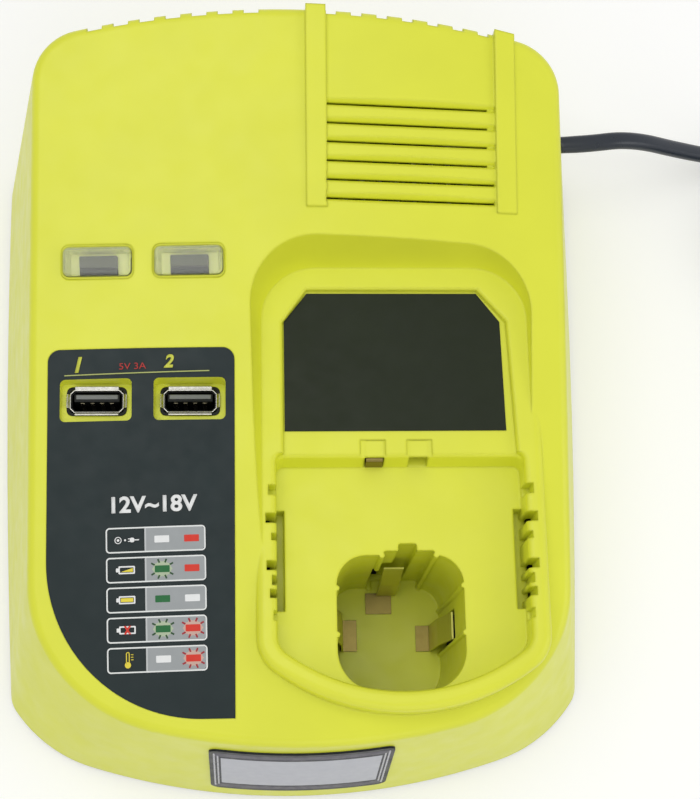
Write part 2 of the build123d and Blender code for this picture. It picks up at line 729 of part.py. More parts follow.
def label_face(grow=0.0):
    """Outline of the control label: a rectangle with one wide corner."""
    left, right = LABEL_LEFT - grow, LABEL_RIGHT + grow
    front, back = LABEL_FRONT - grow, LABEL_BACK + grow
    sweep = LABEL_SWEEP + grow
    cx, cy = left + sweep, front + sweep
    edges = [
        Line((right, front), (right, back)),
        Line((right, back), (left, back)),
        Line((left, back), (left, cy)),
        ThreePointArc((left, cy), (cx - sweep * cos(pi / 4), cy - sweep * sin(pi / 4)), (cx, front)),
        Line((cx, front), (right, front)),
    ]
    face = make_face(Wire(edges))
    back_corners = face.vertices().sort_by(Axis.Y)[-2:]
    return fillet(back_corners, LABEL_CORNER)


def usb_pocket(x, grow=0.0):
    """Plan outline of one USB pocket."""
    return rounded(x - POCKET_LENGTH / 2 - grow, x + POCKET_LENGTH / 2 + grow,
                   POCKET_Y - POCKET_WIDTH / 2 - grow, POCKET_Y + POCKET_WIDTH / 2 + grow, 1.3 + grow)


# ---------------------------------------------------------------------------------------------
# Housing
# ---------------------------------------------------------------------------------------------
def outer_form():
    """Solid outer form with its rounded top edge, rails and collar."""
    body = housing_form() & crown()
    top = [face for face in body.faces() if face.geom_type == GeomType.CYLINDER]
    top = max(top, key=lambda face: face.area)
    body = fillet(top.edges(), TOP_EDGE_RADIUS)
    body = body + rails() + collar()
    return body - block(-200, 200, -200, 200, -50, SKIRT_FOOT)


def inner_form(gap=0.0):
    """Inside of the skin, made smaller by `gap`."""
    return housing_form(WALL + 0.3 + gap) & crown(WALL + gap)


def lamp_posts(radius, low, high):
    """The two posts of the lamp board, between the lamps, as cylinders along the lamp plane."""
    post = Pos(0, 0, low) * Cylinder(radius, high - low, align=(Align.CENTER, Align.CENTER, Align.MIN))
    return [lamp_plane() * Pos(0, side * LAMP_POST_Y, 0) * post for side in (-1, 1)]


def bosses():
    """Screw bosses of the upper shell and the posts of its two small boards."""
    shapes = [disc(x, y, BOSS_FOOT, SKY, BOSS_RADIUS) for x, y in SHELL_SCREW_PLACES]
    shapes += [disc(x, y, USB_BOARD_TOP, SKY, SMALL_POST_RADIUS) for x, y in USB_BOARD_POSTS]
    return shapes + lamp_posts(SMALL_POST_RADIUS, -LAMP_BOARD_DROP, 0)


def boss_holes():
    """Blind holes for the self-tapping screws."""
    shell = SCREW_SHANK_RADIUS + THREAD_GAP
    small = SMALL_SCREW_RADIUS + THREAD_GAP
    depth = SMALL_SCREW_LENGTH - BOARD_THICKNESS
    shapes = [disc(x, y, BOSS_FOOT - 1, BOSS_FOOT + SHELL_SCREW_LENGTH, shell)
              for x, y in SHELL_SCREW_PLACES]
    shapes += [disc(x, y, USB_BOARD_TOP - 1, USB_BOARD_TOP + depth, small) for x, y in USB_BOARD_POSTS]
    # The lamp screws are as short as the posts leave room for.
    return shapes + lamp_posts(small, -LAMP_BOARD_DROP - 1, -LAMP_BOARD_DROP + LAMP_SCREW_LENGTH)


def upper_housing():
    """Upper shell."""
    cavity = inner_form() - bay_walls()
    for x in USB_X:
        cavity -= prism(usb_pocket(x, grow=POCKET_WALL), POCKET_FLOOR - WALL, SKY)
    for shape in bosses():
        cavity -= shape
    body = outer_form() - bay_void() - cavity
    body = body - wall_pockets() - latch_slots() - ledge_pads()
    for x in TUNNEL_X:
        body -= tunnel(x)
    body -= well_mouth()
    for groove in louvre_grooves() + louvre_slits():
        body -= groove
    inside_back = housing_form(BACK_GROOVE_DEPTH)
    for groove in back_grooves():
        body -= groove - inside_back
    label_recess = crown() - crown(LABEL_THICKNESS + SKIN_GAP)
    body -= label_recess & prism(label_face(SKIN_GAP * 4), USB_BOARD_TOP - WALL, SKY)
    for x in USB_X:
        body -= prism(usb_pocket(x), POCKET_FLOOR, SKY)
        body -= prism(usb_outline(x, CLEARANCE), DECK_TOP, SKY)
    for side in (-1, 1):
        opening = extrude(lens_outline(CLEARANCE), 3 * WALL, both=True)
        body -= at_lamp(side, opening)
    for shape in boss_holes():
        body -= shape
    return body - cord_cylinder(CORD_RADIUS + CLEARANCE, CRADLE_X[1], HOUSING_WIDTH)


def lower_housing():
    """Base cover inside the skirt, with lip, screw cups, board posts, keyholes, slits and cord cradle."""
    body = prism(base_outline(COVER_INSET), SKIRT_FOOT, COVER_TOP)
    lip = base_outline(LIP_INSET) - base_outline(LIP_INSET + LIP_THICKNESS)
    body += prism(lip, SKIRT_FOOT + COVER_THICKNESS / 2, LIP_TOP)
    for x, y in SHELL_SCREW_PLACES:
        body += disc(x, y, SKIRT_FOOT, BOSS_FOOT, CUP_RADIUS)
    for x, y in board_screw_places():
        body += disc(x, y, SKIRT_FOOT, BOARD_BOTTOM, SMALL_POST_RADIUS)
    low, high = CRADLE_X
    y0, y1 = CORD_EXIT_Y - CRADLE_FRONT, CORD_EXIT_Y + CRADLE_BACK
    body += block(low, high, y0, y1, SKIRT_FOOT, CORD_EXIT_Z)
    body -= cord_cylinder(RELIEF_RADIUS + SKIN_GAP, RELIEF_START, HOUSING_WIDTH)
    for x, y in SHELL_SCREW_PLACES:
        body -= disc(x, y, 0, HEAD_SEAT, SCREW_HEAD_RADIUS + CLEARANCE)
        body -= disc(x, y, 0, SKY, SCREW_SHANK_RADIUS + CLEARANCE)
    for x, y in board_screw_places():
        body -= disc(x, y, BOARD_TOP - BOARD_SCREW_LENGTH, SKY, BOARD_SCREW_RADIUS + THREAD_GAP)
    body -= clamp_screw_hole(THREAD_GAP)
    for x, y in FOOT_PLACES:
        body -= disc(x, y, 0, SKIRT_FOOT + FOOT_SET, FOOT_RADIUS + CLEARANCE)
    for side in (-1, 1):
        x = side * KEYHOLE_X
        body -= disc(x, KEYHOLE_Y, 0, COVER_TOP + 1, KEYHOLE_RADIUS)
        body -= block(x - KEYHOLE_SLOT / 2, x + KEYHOLE_SLOT / 2, KEYHOLE_Y, KEYHOLE_Y + KEYHOLE_RUN,
                      0, COVER_TOP + 1)
    for k in range(BASE_SLIT_COUNT):
        y = BASE_SLIT_Y + k * BASE_SLIT_PITCH
        body -= block(-BASE_SLIT_LENGTH / 2, BASE_SLIT_LENGTH / 2, y, y + BASE_SLIT_WIDTH,
                      0, COVER_TOP + 1)
    return body


# ---------------------------------------------------------------------------------------------
# Stem well
# ---------------------------------------------------------------------------------------------
def well_shrink(z):
    """How far the well's walls have moved in at the height z, by their draft."""
    return (DECK_UNDER - z) * tan(radians(WELL_DRAFT))


def well_ribs():
    """Slim vertical ribs on the inner walls of the well, leaning with the draft."""
    shrink = well_shrink(WELL_FLOOR)
    ribs = []
    for x, y, dx, dy in WELL_RIBS:
        foot = Pos(x + dx * shrink, y + dy * shrink, WELL_FLOOR - 0.5) * Circle(WELL_RIB_RADIUS)
        head = Pos(x, y, DECK_UNDER) * Circle(WELL_RIB_RADIUS)
        ribs.append(loft([foot, head]) + disc(x, y, DECK_UNDER, DECK_TOP, WELL_RIB_RADIUS))
    return ribs


def well_mouth():
    """Opening of the well through the deck."""
    mouth = prism(well_face() + well_recesses(), 0, SKY)
    for rib in well_ribs():
        mouth -= rib
    return mouth


def terminal_windows():
    """Windows in the well's walls behind the three contact leaves."""
    margin = WINDOW_MARGIN
    wall = WELL_WALL + well_shrink(WELL_FLOOR)
    left, right = WELL_X - WELL_HALF_WIDTH, WELL_X + WELL_HALF_WIDTH
    back = WELL_BACK + WELL_PANEL_DEPTH + WELL_WALL
    low = WELL_FLOOR + SHEET
    shapes = [block(REAR_PLATE[0], REAR_LEAF_X[1] + margin, WELL_BACK - 2 * wall, back, low, WINDOW_HIGH)]
    shapes.append(block(right - wall, right + wall, RIGHT_LEAF_Y[0] - margin, RIGHT_LEAF_Y[1] + margin,
                        low, WINDOW_HIGH))
    shapes.append(block(left - wall, left + wall, LEFT_LEAF_Y[0] - margin, LEFT_LEAF_Y[1] + margin,
                        low, WINDOW_HIGH))
    return shapes


def battery_well():
    """Deep cup for the battery's stem, which hangs from the deck and stands on the base cover."""
    foot = well_shrink(WELL_BOTTOM)
    floor = well_shrink(WELL_FLOOR)
    outer = loft([Pos(0, 0, WELL_BOTTOM) * well_face(WELL_WALL - foot),
                  Pos(0, 0, DECK_UNDER) * well_face(WELL_WALL)], ruled=True)
    inner = loft([Pos(0, 0, WELL_FLOOR) * well_face(-floor), Pos(0, 0, DECK_UNDER) * well_face()], ruled=True)
    flange = prism(well_face(WELL_WALL + WELL_FLANGE), DECK_UNDER - WELL_WALL, DECK_UNDER)
    body = (outer + flange) & inner_form(SKIN_GAP)
    body += prism(well_recesses(WELL_WALL), WELL_BOTTOM, DECK_UNDER)
    body = body - inner - prism(well_recesses(), WELL_FLOOR, SKY)
    region = prism(well_face(WELL_WALL / 2), WELL_FLOOR - 0.5, DECK_UNDER)
    for rib in well_ribs():
        body += rib & region
    for window in terminal_windows():
        body -= window
    return body


def leaf(width):
    """Sprung contact leaf of bent sheet: it stands on the origin and leans towards +X."""
    line = FilletPolyline((0, 0), (0.9, 0.5 * LEAF_HEIGHT), (LEAF_LEAN, 0.92 * LEAF_HEIGHT),
                          (LEAF_LEAN, LEAF_HEIGHT), radius=3 * LEAF_LEAN)
    profile = trace(line, SHEET)
    return extrude(Plane.XZ * profile, width / 2, both=True)


def contact_leaf(foot, width, turn):
    """Leaf with its foot at (x, y) and its lean turned from +X by `turn` degrees."""
    level = WELL_FLOOR + SHEET + LEAF_FOOT_GAP
    return Pos(foot[0], foot[1], level) * Rot(0, 0, turn) * leaf(width)


def terminal_plate(limits):
    """Flat end of a terminal on the floor of the well."""
    x0, x1, y0, y1 = limits
    return block(x0, x1, y0, y1, WELL_FLOOR, WELL_FLOOR + SHEET)


def ledge_contact():
    """Bent sheet contact in the left opening of the ledge: floor, front and top are one strip."""
    half = TUNNEL_WIDTH / 2 - CLEARANCE
    floor = DECK_TOP + TUNNEL_FLOOR_RISE + SHEET / 2
    roof = PLATFORM_TOP - TUNNEL_ROOF - CLEARANCE - SHEET / 2
    back = LEDGE_Y + TUNNEL_DEPTH - SHEET
    line = FilletPolyline((back, floor), (DECK_BACK, floor), (LEDGE_Y - CONTACT_PROUD, roof), (back, roof),
                          radius=SHEET)
    profile = Plane.YZ * trace(line, SHEET)
    return Pos(TUNNEL_X[0], 0, 0) * extrude(profile, half, both=True)


# ---------------------------------------------------------------------------------------------
# Cord entry, labels, lamps and sockets
# ---------------------------------------------------------------------------------------------
def cord_cylinder(radius, x0, x1):
    """Cylinder round the cord's line through the right-hand wall."""
    return Pos((x0 + x1) / 2, CORD_EXIT_Y, CORD_EXIT_Z) * Rot(0, 90, 0) * Cylinder(radius, x1 - x0)


def clamp_screw_hole(grow):
    """Hole of the clamp's screw, down into the cradle in front of the cord."""
    foot = CORD_EXIT_Z + CLEARANCE + CLAMP_HEIGHT - BOARD_SCREW_LENGTH
    return disc(sum(CRADLE_X) / 2, CORD_EXIT_Y - CLAMP_SCREW_SHIFT, foot, SKY, BOARD_SCREW_RADIUS + grow)


def strain_relief():
    """Rubber sleeve round the cord inside the wall, with a flange that the wall stops."""
    body = cord_cylinder(RELIEF_RADIUS, RELIEF_START, HOUSING_WIDTH)
    body += cord_cylinder(RELIEF_FLANGE, RELIEF_FLANGE_X, HOUSING_WIDTH)
    body = body & inner_form(SKIN_GAP)
    return body - cord_cylinder(CORD_RADIUS, 0, HOUSING_WIDTH)


def cord_clamp():
    """Bar that holds the sleeve down in its cradle."""
    low, high = CRADLE_X
    y0, y1 = CORD_EXIT_Y - CRADLE_FRONT, CORD_EXIT_Y + CRADLE_BACK
    foot = CORD_EXIT_Z + CLEARANCE
    body = block(low, high, y0, y1, foot, foot + CLAMP_HEIGHT)
    body -= cord_cylinder(RELIEF_RADIUS + SKIN_GAP, RELIEF_START, HOUSING_WIDTH)
    return body - clamp_screw_hole(CLEARANCE)


def control_label():
    """Printed film on the left of the top, flush in its recess, with two windows for the sockets."""
    body = (crown() - crown(LABEL_THICKNESS)) & prism(label_face(), USB_BOARD_TOP - WALL, SKY)
    for x in USB_X:
        body -= prism(usb_pocket(x, grow=SKIN_GAP), DECK_TOP, SKY)
    return body


def rating_label():
    """Plain dark plate on the platform of the bay."""
    face = make_face(Polyline(*RATING_POINTS, close=True))
    return prism(face, PLATFORM_TOP, PLATFORM_TOP + RATING_THICKNESS)


def front_badge():
    """Badge on the bulged front wall."""
    height = BADGE_HIGH - BADGE_LOW
    outline = RectangleRounded(2 * BADGE_HALF_LENGTH, height, BADGE_CORNER)
    tool = Pos(0, HOUSING_FRONT, BADGE_LOW + height / 2) * extrude(Plane.XZ * outline, -HOUSING_FRONT / 2,
                                                                   both=True)
    return (housing_form(-BADGE_THICKNESS) - housing_form(-SKIN_GAP)) & tool


def usb_outline(x, grow=0.0):
    """Outline of a socket's sheet-metal shell in plan."""
    return Pos(x, USB_Y) * Rectangle(USB_SHELL_LENGTH + 2 * grow, USB_SHELL_WIDTH + 2 * grow)


def usb_shell(x):
    """Sheet-metal shell of a socket, which flares out at its mouth."""
    neck = USB_MOUTH - USB_FLARE
    outer = prism(usb_outline(x), USB_BOARD_TOP, neck)
    outer += loft([Pos(0, 0, neck) * usb_outline(x), Pos(0, 0, USB_MOUTH) * usb_outline(x, USB_FLARE)])
    inner = prism(usb_outline(x, -USB_SHEET), USB_BOARD_TOP + USB_SHEET, neck)
    inner += loft([Pos(0, 0, neck) * usb_outline(x, -USB_SHEET),
                   Pos(0, 0, USB_MOUTH) * usb_outline(x, USB_FLARE - USB_SHEET)])
    return outer - inner


def usb_tongue(x):
    """Plastic core of a socket: a plug at the bottom and the tongue."""
    foot = USB_BOARD_TOP + USB_SHEET
    length, thickness = USB_TONGUE
    y = USB_Y + USB_TONGUE_SHIFT
    body = prism(usb_outline(x, -USB_SHEET - SKIN_GAP), foot, foot + 2)
    return body + block(x - length / 2, x + length / 2, y - thickness / 2, y + thickness / 2,
                        foot, USB_MOUTH - 1)


def usb_contacts(x):
    """Four contact strips on the front of the tongue."""
    y = USB_Y + USB_TONGUE_SHIFT - USB_TONGUE[1] / 2
    low = USB_BOARD_TOP + USB_SHEET + 2
    return [block(x + k * USB_CONTACT_PITCH - 0.5, x + k * USB_CONTACT_PITCH + 0.5, y - 0.2, y,
                  low, USB_MOUTH - 2) for k in (-1.5, -0.5, 0.5, 1.5)]


def lens_outline(grow=0.0):
    """Outline of a lamp's window, about its own centre."""
    return RectangleRounded(LENS_LENGTH + 2 * grow, LENS_WIDTH + 2 * grow, LENS_CORNER + grow)


def led_lens():
    """Clear window of a lamp: a hollow cap with a flange below the skin."""
    cap = Pos(0, 0, -LENS_FLANGE_DROP - LENS_WALL) * extrude(
        lens_outline(), LENS_RISE + LENS_FLANGE_DROP + LENS_WALL)
    cap = fillet(cap.faces().sort_by(Axis.Z)[-1].edges(), LENS_RISE * 0.8)
    flange = Pos(0, 0, -LENS_FLANGE_DROP - LENS_WALL) * extrude(lens_outline(LENS_FLANGE), LENS_WALL)
    hollow = Pos(0, 0, -LENS_FLANGE_DROP - LENS_WALL) * extrude(
        lens_outline(-LENS_WALL), LENS_RISE + LENS_FLANGE_DROP)
    return cap + flange - hollow


def led():
    """Block-shaped light source on the lamp board."""
    length, width, height = LED_SIZE
    body = Pos(0, 0, -LAMP_BOARD_DROP) * Box(length, width, height,
                                             align=(Align.CENTER, Align.CENTER, Align.MIN))
    return fillet(body.edges().filter_by(Axis.Z), width / 8)


def led_board():
    """Lamp board under the top."""
    board = Pos(0, 0, -LAMP_BOARD_DROP) * Box(*LAMP_BOARD_SIZE, BOARD_THICKNESS,
                                              align=(Align.CENTER, Align.CENTER, Align.MAX))
    board = lamp_plane() * board
    for hole in lamp_posts(SMALL_SCREW_RADIUS + CLEARANCE, -SKY, 0):
        board -= hole
    return board


def usb_board():
    """Board that carries the two sockets."""
    x0, x1, y0, y1 = USB_BOARD
    board = block(x0, x1, y0, y1, USB_BOARD_TOP - BOARD_THICKNESS, USB_BOARD_TOP)
    for x, y in USB_BOARD_POSTS:
        board -= disc(x, y, 0, SKY, SMALL_SCREW_RADIUS + CLEARANCE)
    return board


# ---------------------------------------------------------------------------------------------
# Main board
# ---------------------------------------------------------------------------------------------
def board_screw_places():
    """The four corners where the main board is held."""
    return [(side * BOARD_SCREW_X, y) for side in (-1, 1) for y in BOARD_SCREW_Y]


def main_board():
    """Main board on its four posts."""
    board = block(-BOARD_HALF_WIDTH, BOARD_HALF_WIDTH, BOARD_FRONT, BOARD_BACK, BOARD_BOTTOM, BOARD_TOP)
    for x, y in board_screw_places():
        board -= disc(x, y, 0, SKY, BOARD_SCREW_RADIUS + CLEARANCE)
    return board


def screw(radius, head_radius, head_height, length):
    """Pan-head screw: its shank rises from z = 0 and its head hangs below, with a cross recess."""
    body = Cylinder(radius, length, align=(Align.CENTER, Align.CENTER, Align.MIN))
    body += Cylinder(head_radius, head_height, align=(Align.CENTER, Align.CENTER, Align.MAX))
    for turn in (0, 90):
        slot = Box(1.2 * head_radius, 0.2 * head_radius, head_height,
                   align=(Align.CENTER, Align.CENTER, Align.MAX))
        body -= Pos(0, 0, -head_height / 2) * Rot(0, 0, turn) * slot
    return body


def housing_screws():
    """Four screws that join the shells from below."""
    one = screw(SCREW_SHANK_RADIUS, SCREW_HEAD_RADIUS, SCREW_HEAD_HEIGHT,
                BOSS_FOOT - HEAD_SEAT + SHELL_SCREW_LENGTH - 1)
    return [Pos(x, y, HEAD_SEAT) * one for x, y in SHELL_SCREW_PLACES]


def board_screws():
    """Screws of the three boards."""
    main = screw(BOARD_SCREW_RADIUS, 2.2 * BOARD_SCREW_RADIUS, BOARD_SCREW_RADIUS, BOARD_SCREW_LENGTH)
    small = screw(SMALL_SCREW_RADIUS, 2 * SMALL_SCREW_RADIUS, SMALL_SCREW_RADIUS, SMALL_SCREW_LENGTH - 1)
    lamp = screw(SMALL_SCREW_RADIUS, 2 * SMALL_SCREW_RADIUS, SMALL_SCREW_RADIUS,
                 BOARD_THICKNESS + LAMP_SCREW_LENGTH - 0.5)
    shapes = [Pos(x, y, BOARD_TOP) * Rot(180, 0, 0) * main for x, y in board_screw_places()]
    shapes += [Pos(x, y, USB_BOARD_TOP - BOARD_THICKNESS) * small for x, y in USB_BOARD_POSTS]
    for side in (-1, 1):
        place = Pos(0, side * LAMP_POST_Y, -LAMP_BOARD_DROP - BOARD_THICKNESS)
        shapes.append(lamp_plane() * place * lamp)
    return shapes


def clamp_screw():
    """Screw of the cord clamp."""
    one = screw(BOARD_SCREW_RADIUS, 2 * BOARD_SCREW_RADIUS, BOARD_SCREW_RADIUS, BOARD_SCREW_LENGTH - 0.5)
    top = CORD_EXIT_Z + CLEARANCE + CLAMP_HEIGHT
    return Pos(sum(CRADLE_X) / 2, CORD_EXIT_Y - CLAMP_SCREW_SHIFT, top) * Rot(180, 0, 0) * one


def on_board(x, y, shape):
    """Stand a shape, drawn with its foot at z = 0, on the main board."""
    return Pos(x, y, BOARD_TOP) * shape


def core_windows():
    """The two winding windows of the transformer's core, as plan limits about its middle."""
    half_leg = CORE_LEG / 2
    return ((-half_leg - CORE_WINDOW[0], -half_leg), (half_leg, half_leg + CORE_WINDOW[0]))


def transformer_core():
    """Ferrite core: a block with a window on each side of its middle leg."""
    length, depth, height = CORE_SIZE
    body = Box(length, depth, height, align=(Align.CENTER, Align.CENTER, Align.MIN))
    for x0, x1 in core_windows():
        body -= block(x0, x1, -depth, depth, (height - CORE_WINDOW[1]) / 2, (height + CORE_WINDOW[1]) / 2)
    return on_board(*CORE_PLACE, body)


def transformer_winding():
    """Taped winding round the middle leg."""
    depth, height = CORE_SIZE[1], CORE_SIZE[2]
    half_leg = CORE_LEG / 2 + CLEARANCE
    half_depth = depth / 2 + CLEARANCE
    wall = WINDING_WALL
    ring = RectangleRounded(2 * (half_leg + wall), 2 * (half_depth + wall), wall / 2)
    ring -= Rectangle(2 * half_leg, 2 * half_depth)
    foot = (height - CORE_WINDOW[1]) / 2
    return on_board(*CORE_PLACE, Pos(0, 0, foot) * extrude(ring, CORE_WINDOW[1]))


def capacitor(radius, height):
    """Standing capacitor with a rolled groove near its foot and a domed edge."""
    body = Cylinder(radius, height, align=(Align.CENTER, Align.CENTER, Align.MIN))
    body = fillet(body.edges().sort_by(Axis.Z)[-1], radius / 8)
    return body - Pos(0, 0, 3) * Torus(radius, radius / 16)


def heat_sink():
    """Upright plate with fins under the louvre."""
    plate = Box(SINK_WIDTH, SINK_PLATE, SINK_HEIGHT, align=(Align.CENTER, Align.MIN, Align.MIN))
    pitch = (SINK_WIDTH - SINK_FIN) / (SINK_FIN_COUNT - 1)
    for k in range(SINK_FIN_COUNT):
        x = -SINK_WIDTH / 2 + SINK_FIN / 2 + k * pitch
        plate += Pos(x, SINK_PLATE / 2, 0) * Box(SINK_FIN, SINK_FIN_DEPTH, SINK_HEIGHT,
                                                align=(Align.CENTER, Align.MIN, Align.MIN))
    return on_board(SINK_X, SINK_Y, plate)


def power_transistor():
    """Transistor on the front of the heat sink, with its tab and three legs."""
    width, depth, height = TRANSISTOR_SIZE
    low = SINK_HEIGHT / 3
    body = Pos(0, -depth / 2, low) * Box(width, depth, height, align=(Align.CENTER, Align.CENTER, Align.MIN))
    tab = Pos(0, -0.65, low + height) * Box(width, 1.3, 6, align=(Align.CENTER, Align.CENTER, Align.MIN))
    body += tab - Pos(0, 0, low + height + 3) * Rot(90, 0, 0) * Cylinder(1.8, 2 * depth)
    for k in (-1, 0, 1):
        leg = Box(0.9, 0.6, low, align=(Align.CENTER, Align.CENTER, Align.MIN))
        body += Pos(2.54 * k, -depth / 2, 0) * leg
    return on_board(SINK_X, SINK_Y, body)


def line_choke():
    """Ring-core choke that stands on its side."""
    body = Cylinder(CHOKE_RADIUS, CHOKE_LENGTH) - Cylinder(CHOKE_HOLE, 2 * CHOKE_LENGTH)
    body = fillet(body.edges(), CHOKE_HOLE / 4)
    foot = Pos(0, 0, -CHOKE_RADIUS) * Box(CHOKE_RADIUS, CHOKE_LENGTH, 3,
                                          align=(Align.CENTER, Align.CENTER, Align.MIN))
    foot -= Rot(90, 0, 0) * Cylinder(CHOKE_RADIUS - 1, 2 * CHOKE_LENGTH)
    return on_board(*CHOKE_PLACE, Pos(0, 0, CHOKE_RADIUS) * (Rot(90, 0, 0) * body + foot))


def fuse():
    """Glass fuse between its two end caps, with a clip under each cap."""
    body = Rot(0, 90, 0) * Cylinder(FUSE_RADIUS, FUSE_LENGTH)
    for side in (-1, 1):
        cap = Pos(side * (FUSE_LENGTH / 2 - 2.5), 0, 0)
        body += cap * Rot(0, 90, 0) * Cylinder(FUSE_RADIUS + 0.4, 5)
        clip = Box(3, 3, FUSE_RADIUS + 1, align=(Align.CENTER, Align.CENTER, Align.MIN))
        body += cap * Pos(0, 0, -FUSE_RADIUS - 1) * clip
    return on_board(*FUSE_PLACE, Pos(0, 0, FUSE_RADIUS + 1) * body)


def boxed_part(size, radius):
    """Block-shaped component with rounded upright edges."""
    body = Box(*size, align=(Align.CENTER, Align.CENTER, Align.MIN))
    return fillet(body.edges().filter_by(Axis.Z), radius)


# ---------------------------------------------------------------------------------------------
# Free cord
# ---------------------------------------------------------------------------------------------
def cord_path(points):
    """Straight runs joined by tangent arcs. Prints the radii and the length."""
    vectors = [Vector(*p) for p in points]
    radii = []
    for a, b, c in zip(vectors, vectors[1:], vectors[2:]):
        run = min((b - a).length, (c - b).length)
        turn = (b - a).get_angle(c - b)
        radii.append(0.45 * run / tan(radians(turn / 2)))
    path = FilletPolyline(*vectors, radius=radii)
    print("cord radii", [round(r, 1) for r in radii], "length", round(path.length, 1))
    return path


def cord_tube(points, radius=CORD_RADIUS):
    """Round tube along the cord's path."""
    path = cord_path(points)
    tube = sweep(Plane(origin=path @ 0, z_dir=path % 0) * Circle(radius), path=path)
    section = pi * radius ** 2 * path.length
    print("cord volume over section times length", round(tube.volume / section, 4))
    return tube


def end_recess(inner, outer):
    """Recess in the coil for the end of a tube that runs from `outer` to `inner`."""
    start, stop = Vector(*inner), Vector(*outer)
    run = stop - start
    plane = Plane(origin=start, z_dir=run)
    return plane * Cylinder(CORD_RADIUS + CLEARANCE, run.length,
                            align=(Align.CENTER, Align.CENTER, Align.MIN))


def cord_coil():
    """Outer shape of the tied coil."""
    body = Pos(*COIL_CENTRE) * Torus(COIL_RADIUS, COIL_SECTION)
    body -= end_recess(CORD_ROUTE[-1], CORD_ROUTE[-2])
    return body - end_recess(LEAD_ROUTE[0], LEAD_ROUTE[1])


def cord_tie():
    """Band round the bundle at the side nearest the front."""
    x, y, z = COIL_CENTRE
    inner = COIL_SECTION + SKIN_GAP
    ring = Cylinder(inner + TIE_THICKNESS, TIE_WIDTH) - Cylinder(inner, 2 * TIE_WIDTH)
    return Pos(x, y - COIL_RADIUS, z) * Rot(0, 90, 0) * (ring - bent_bundle())


def bent_bundle():
    """The coil's bundle near the tie, in the tie's own axes."""
    return Rot(0, -90, 0) * Pos(0, COIL_RADIUS, 0) * Torus(COIL_RADIUS, COIL_SECTION + SKIN_GAP)


def plug_body():
    """Moulded two-pin plug: a tapered neck round the cord and a flat grip."""
    x, y, z = LEAD_ROUTE[-1]
    end = Plane(origin=(x, y, z), x_dir=(1, 0, 0), z_dir=(0, -1, 0))
    shoulder = RectangleRounded(0.7 * PLUG_WIDTH, 0.75 * PLUG_HEIGHT, PLUG_HEIGHT / 4)
    neck = loft([end * Circle(CORD_RADIUS + 1), end.offset(PLUG_NECK) * shoulder])
    grip = block(x - PLUG_WIDTH / 2, x + PLUG_WIDTH / 2, y - PLUG_NECK - PLUG_GRIP, y - PLUG_NECK,
                 z - PLUG_HEIGHT / 2, z + PLUG_HEIGHT / 2)
    grip = fillet(grip.edges().filter_by(Axis.Y), PLUG_HEIGHT / 5)
    return neck + grip


def plug_blades():
    """Two flat blades."""
    x, y, z = LEAD_ROUTE[-1]
    face = y - PLUG_NECK - PLUG_GRIP
    blades = []
    for side in (-1, 1):
        middle = x + side * BLADE_SPACING / 2
        blade = block(middle - BLADE_THICKNESS / 2, middle + BLADE_THICKNESS / 2, face - BLADE_LENGTH, face,
                      z - BLADE_WIDTH / 2, z + BLADE_WIDTH / 2)
        tip = blade.faces().sort_by(Axis.Y)[0].edges()
        blades.append(chamfer(tip, BLADE_THICKNESS / 4))
    return blades


# ---------------------------------------------------------------------------------------------
# Nodes
# ---------------------------------------------------------------------------------------------
save("upper_housing", upper_housing())
save("lower_housing", lower_housing())
save("battery_well", battery_well())
save("rubber_feet", Compound(children=[disc(x, y, 0, SKIRT_FOOT + FOOT_SET, FOOT_RADIUS)
                                       for x, y in FOOT_PLACES]))
save("housing_screws", Compound(children=housing_screws()))
save("board_screws", Compound(children=board_screws()))
save("control_label", control_label())
save("rating_label", rating_label())
save("front_badge", front_badge())

for side, name in ((-1, "left"), (1, "right")):
    save(name + "_led_lens", at_lamp(side, led_lens()))
    save(name + "_led", at_lamp(side, led()))
save("led_board", led_board())
save("usb_board", usb_board())
for x, name in zip(USB_X, ("left", "right")):
    save(name + "_usb_shell", usb_shell(x))
    save(name + "_usb_tongue", usb_tongue(x))
    save(name + "_usb_contacts", Compound(children=usb_contacts(x)))

rear_width = REAR_LEAF_X[1] - REAR_LEAF_X[0]
save("rear_contact_leaf", contact_leaf((sum(REAR_LEAF_X) / 2, REAR_LEAF_FOOT), rear_width, 90))
save("right_contact_leaf", contact_leaf((RIGHT_LEAF_FOOT, sum(RIGHT_LEAF_Y) / 2),
                                        RIGHT_LEAF_Y[1] - RIGHT_LEAF_Y[0], 0))
save("left_contact_leaf", contact_leaf((LEFT_LEAF_FOOT, sum(LEFT_LEAF_Y) / 2),
                                       LEFT_LEAF_Y[1] - LEFT_LEAF_Y[0], 180))
save("rear_terminal", terminal_plate(REAR_PLATE))
save("right_terminal", terminal_plate(RIGHT_PLATE))
save("left_terminal", terminal_plate(LEFT_PLATE))
save("ledge_contact", ledge_contact())

save("main_board", main_board())
save("transformer_core", transformer_core())
save("transformer_winding", transformer_winding())
save("input_capacitor", on_board(*INPUT_CAPACITOR[:2], capacitor(*INPUT_CAPACITOR[2:])))
save("output_capacitors", Compound(children=[
    on_board(x, y, capacitor(OUTPUT_CAPACITOR_RADIUS, OUTPUT_CAPACITOR_HEIGHT))
    for x, y in OUTPUT_CAPACITORS]))
save("heat_sink", heat_sink())
save("power_transistor", power_transistor())
save("line_choke", line_choke())
save("fuse", fuse())
save("film_capacitor", on_board(*FILM_PLACE, boxed_part(FILM_SIZE, 1.5)))
save("bridge_rectifier", on_board(*BRIDGE_PLACE, boxed_part(BRIDGE_SIZE, 0.8)))

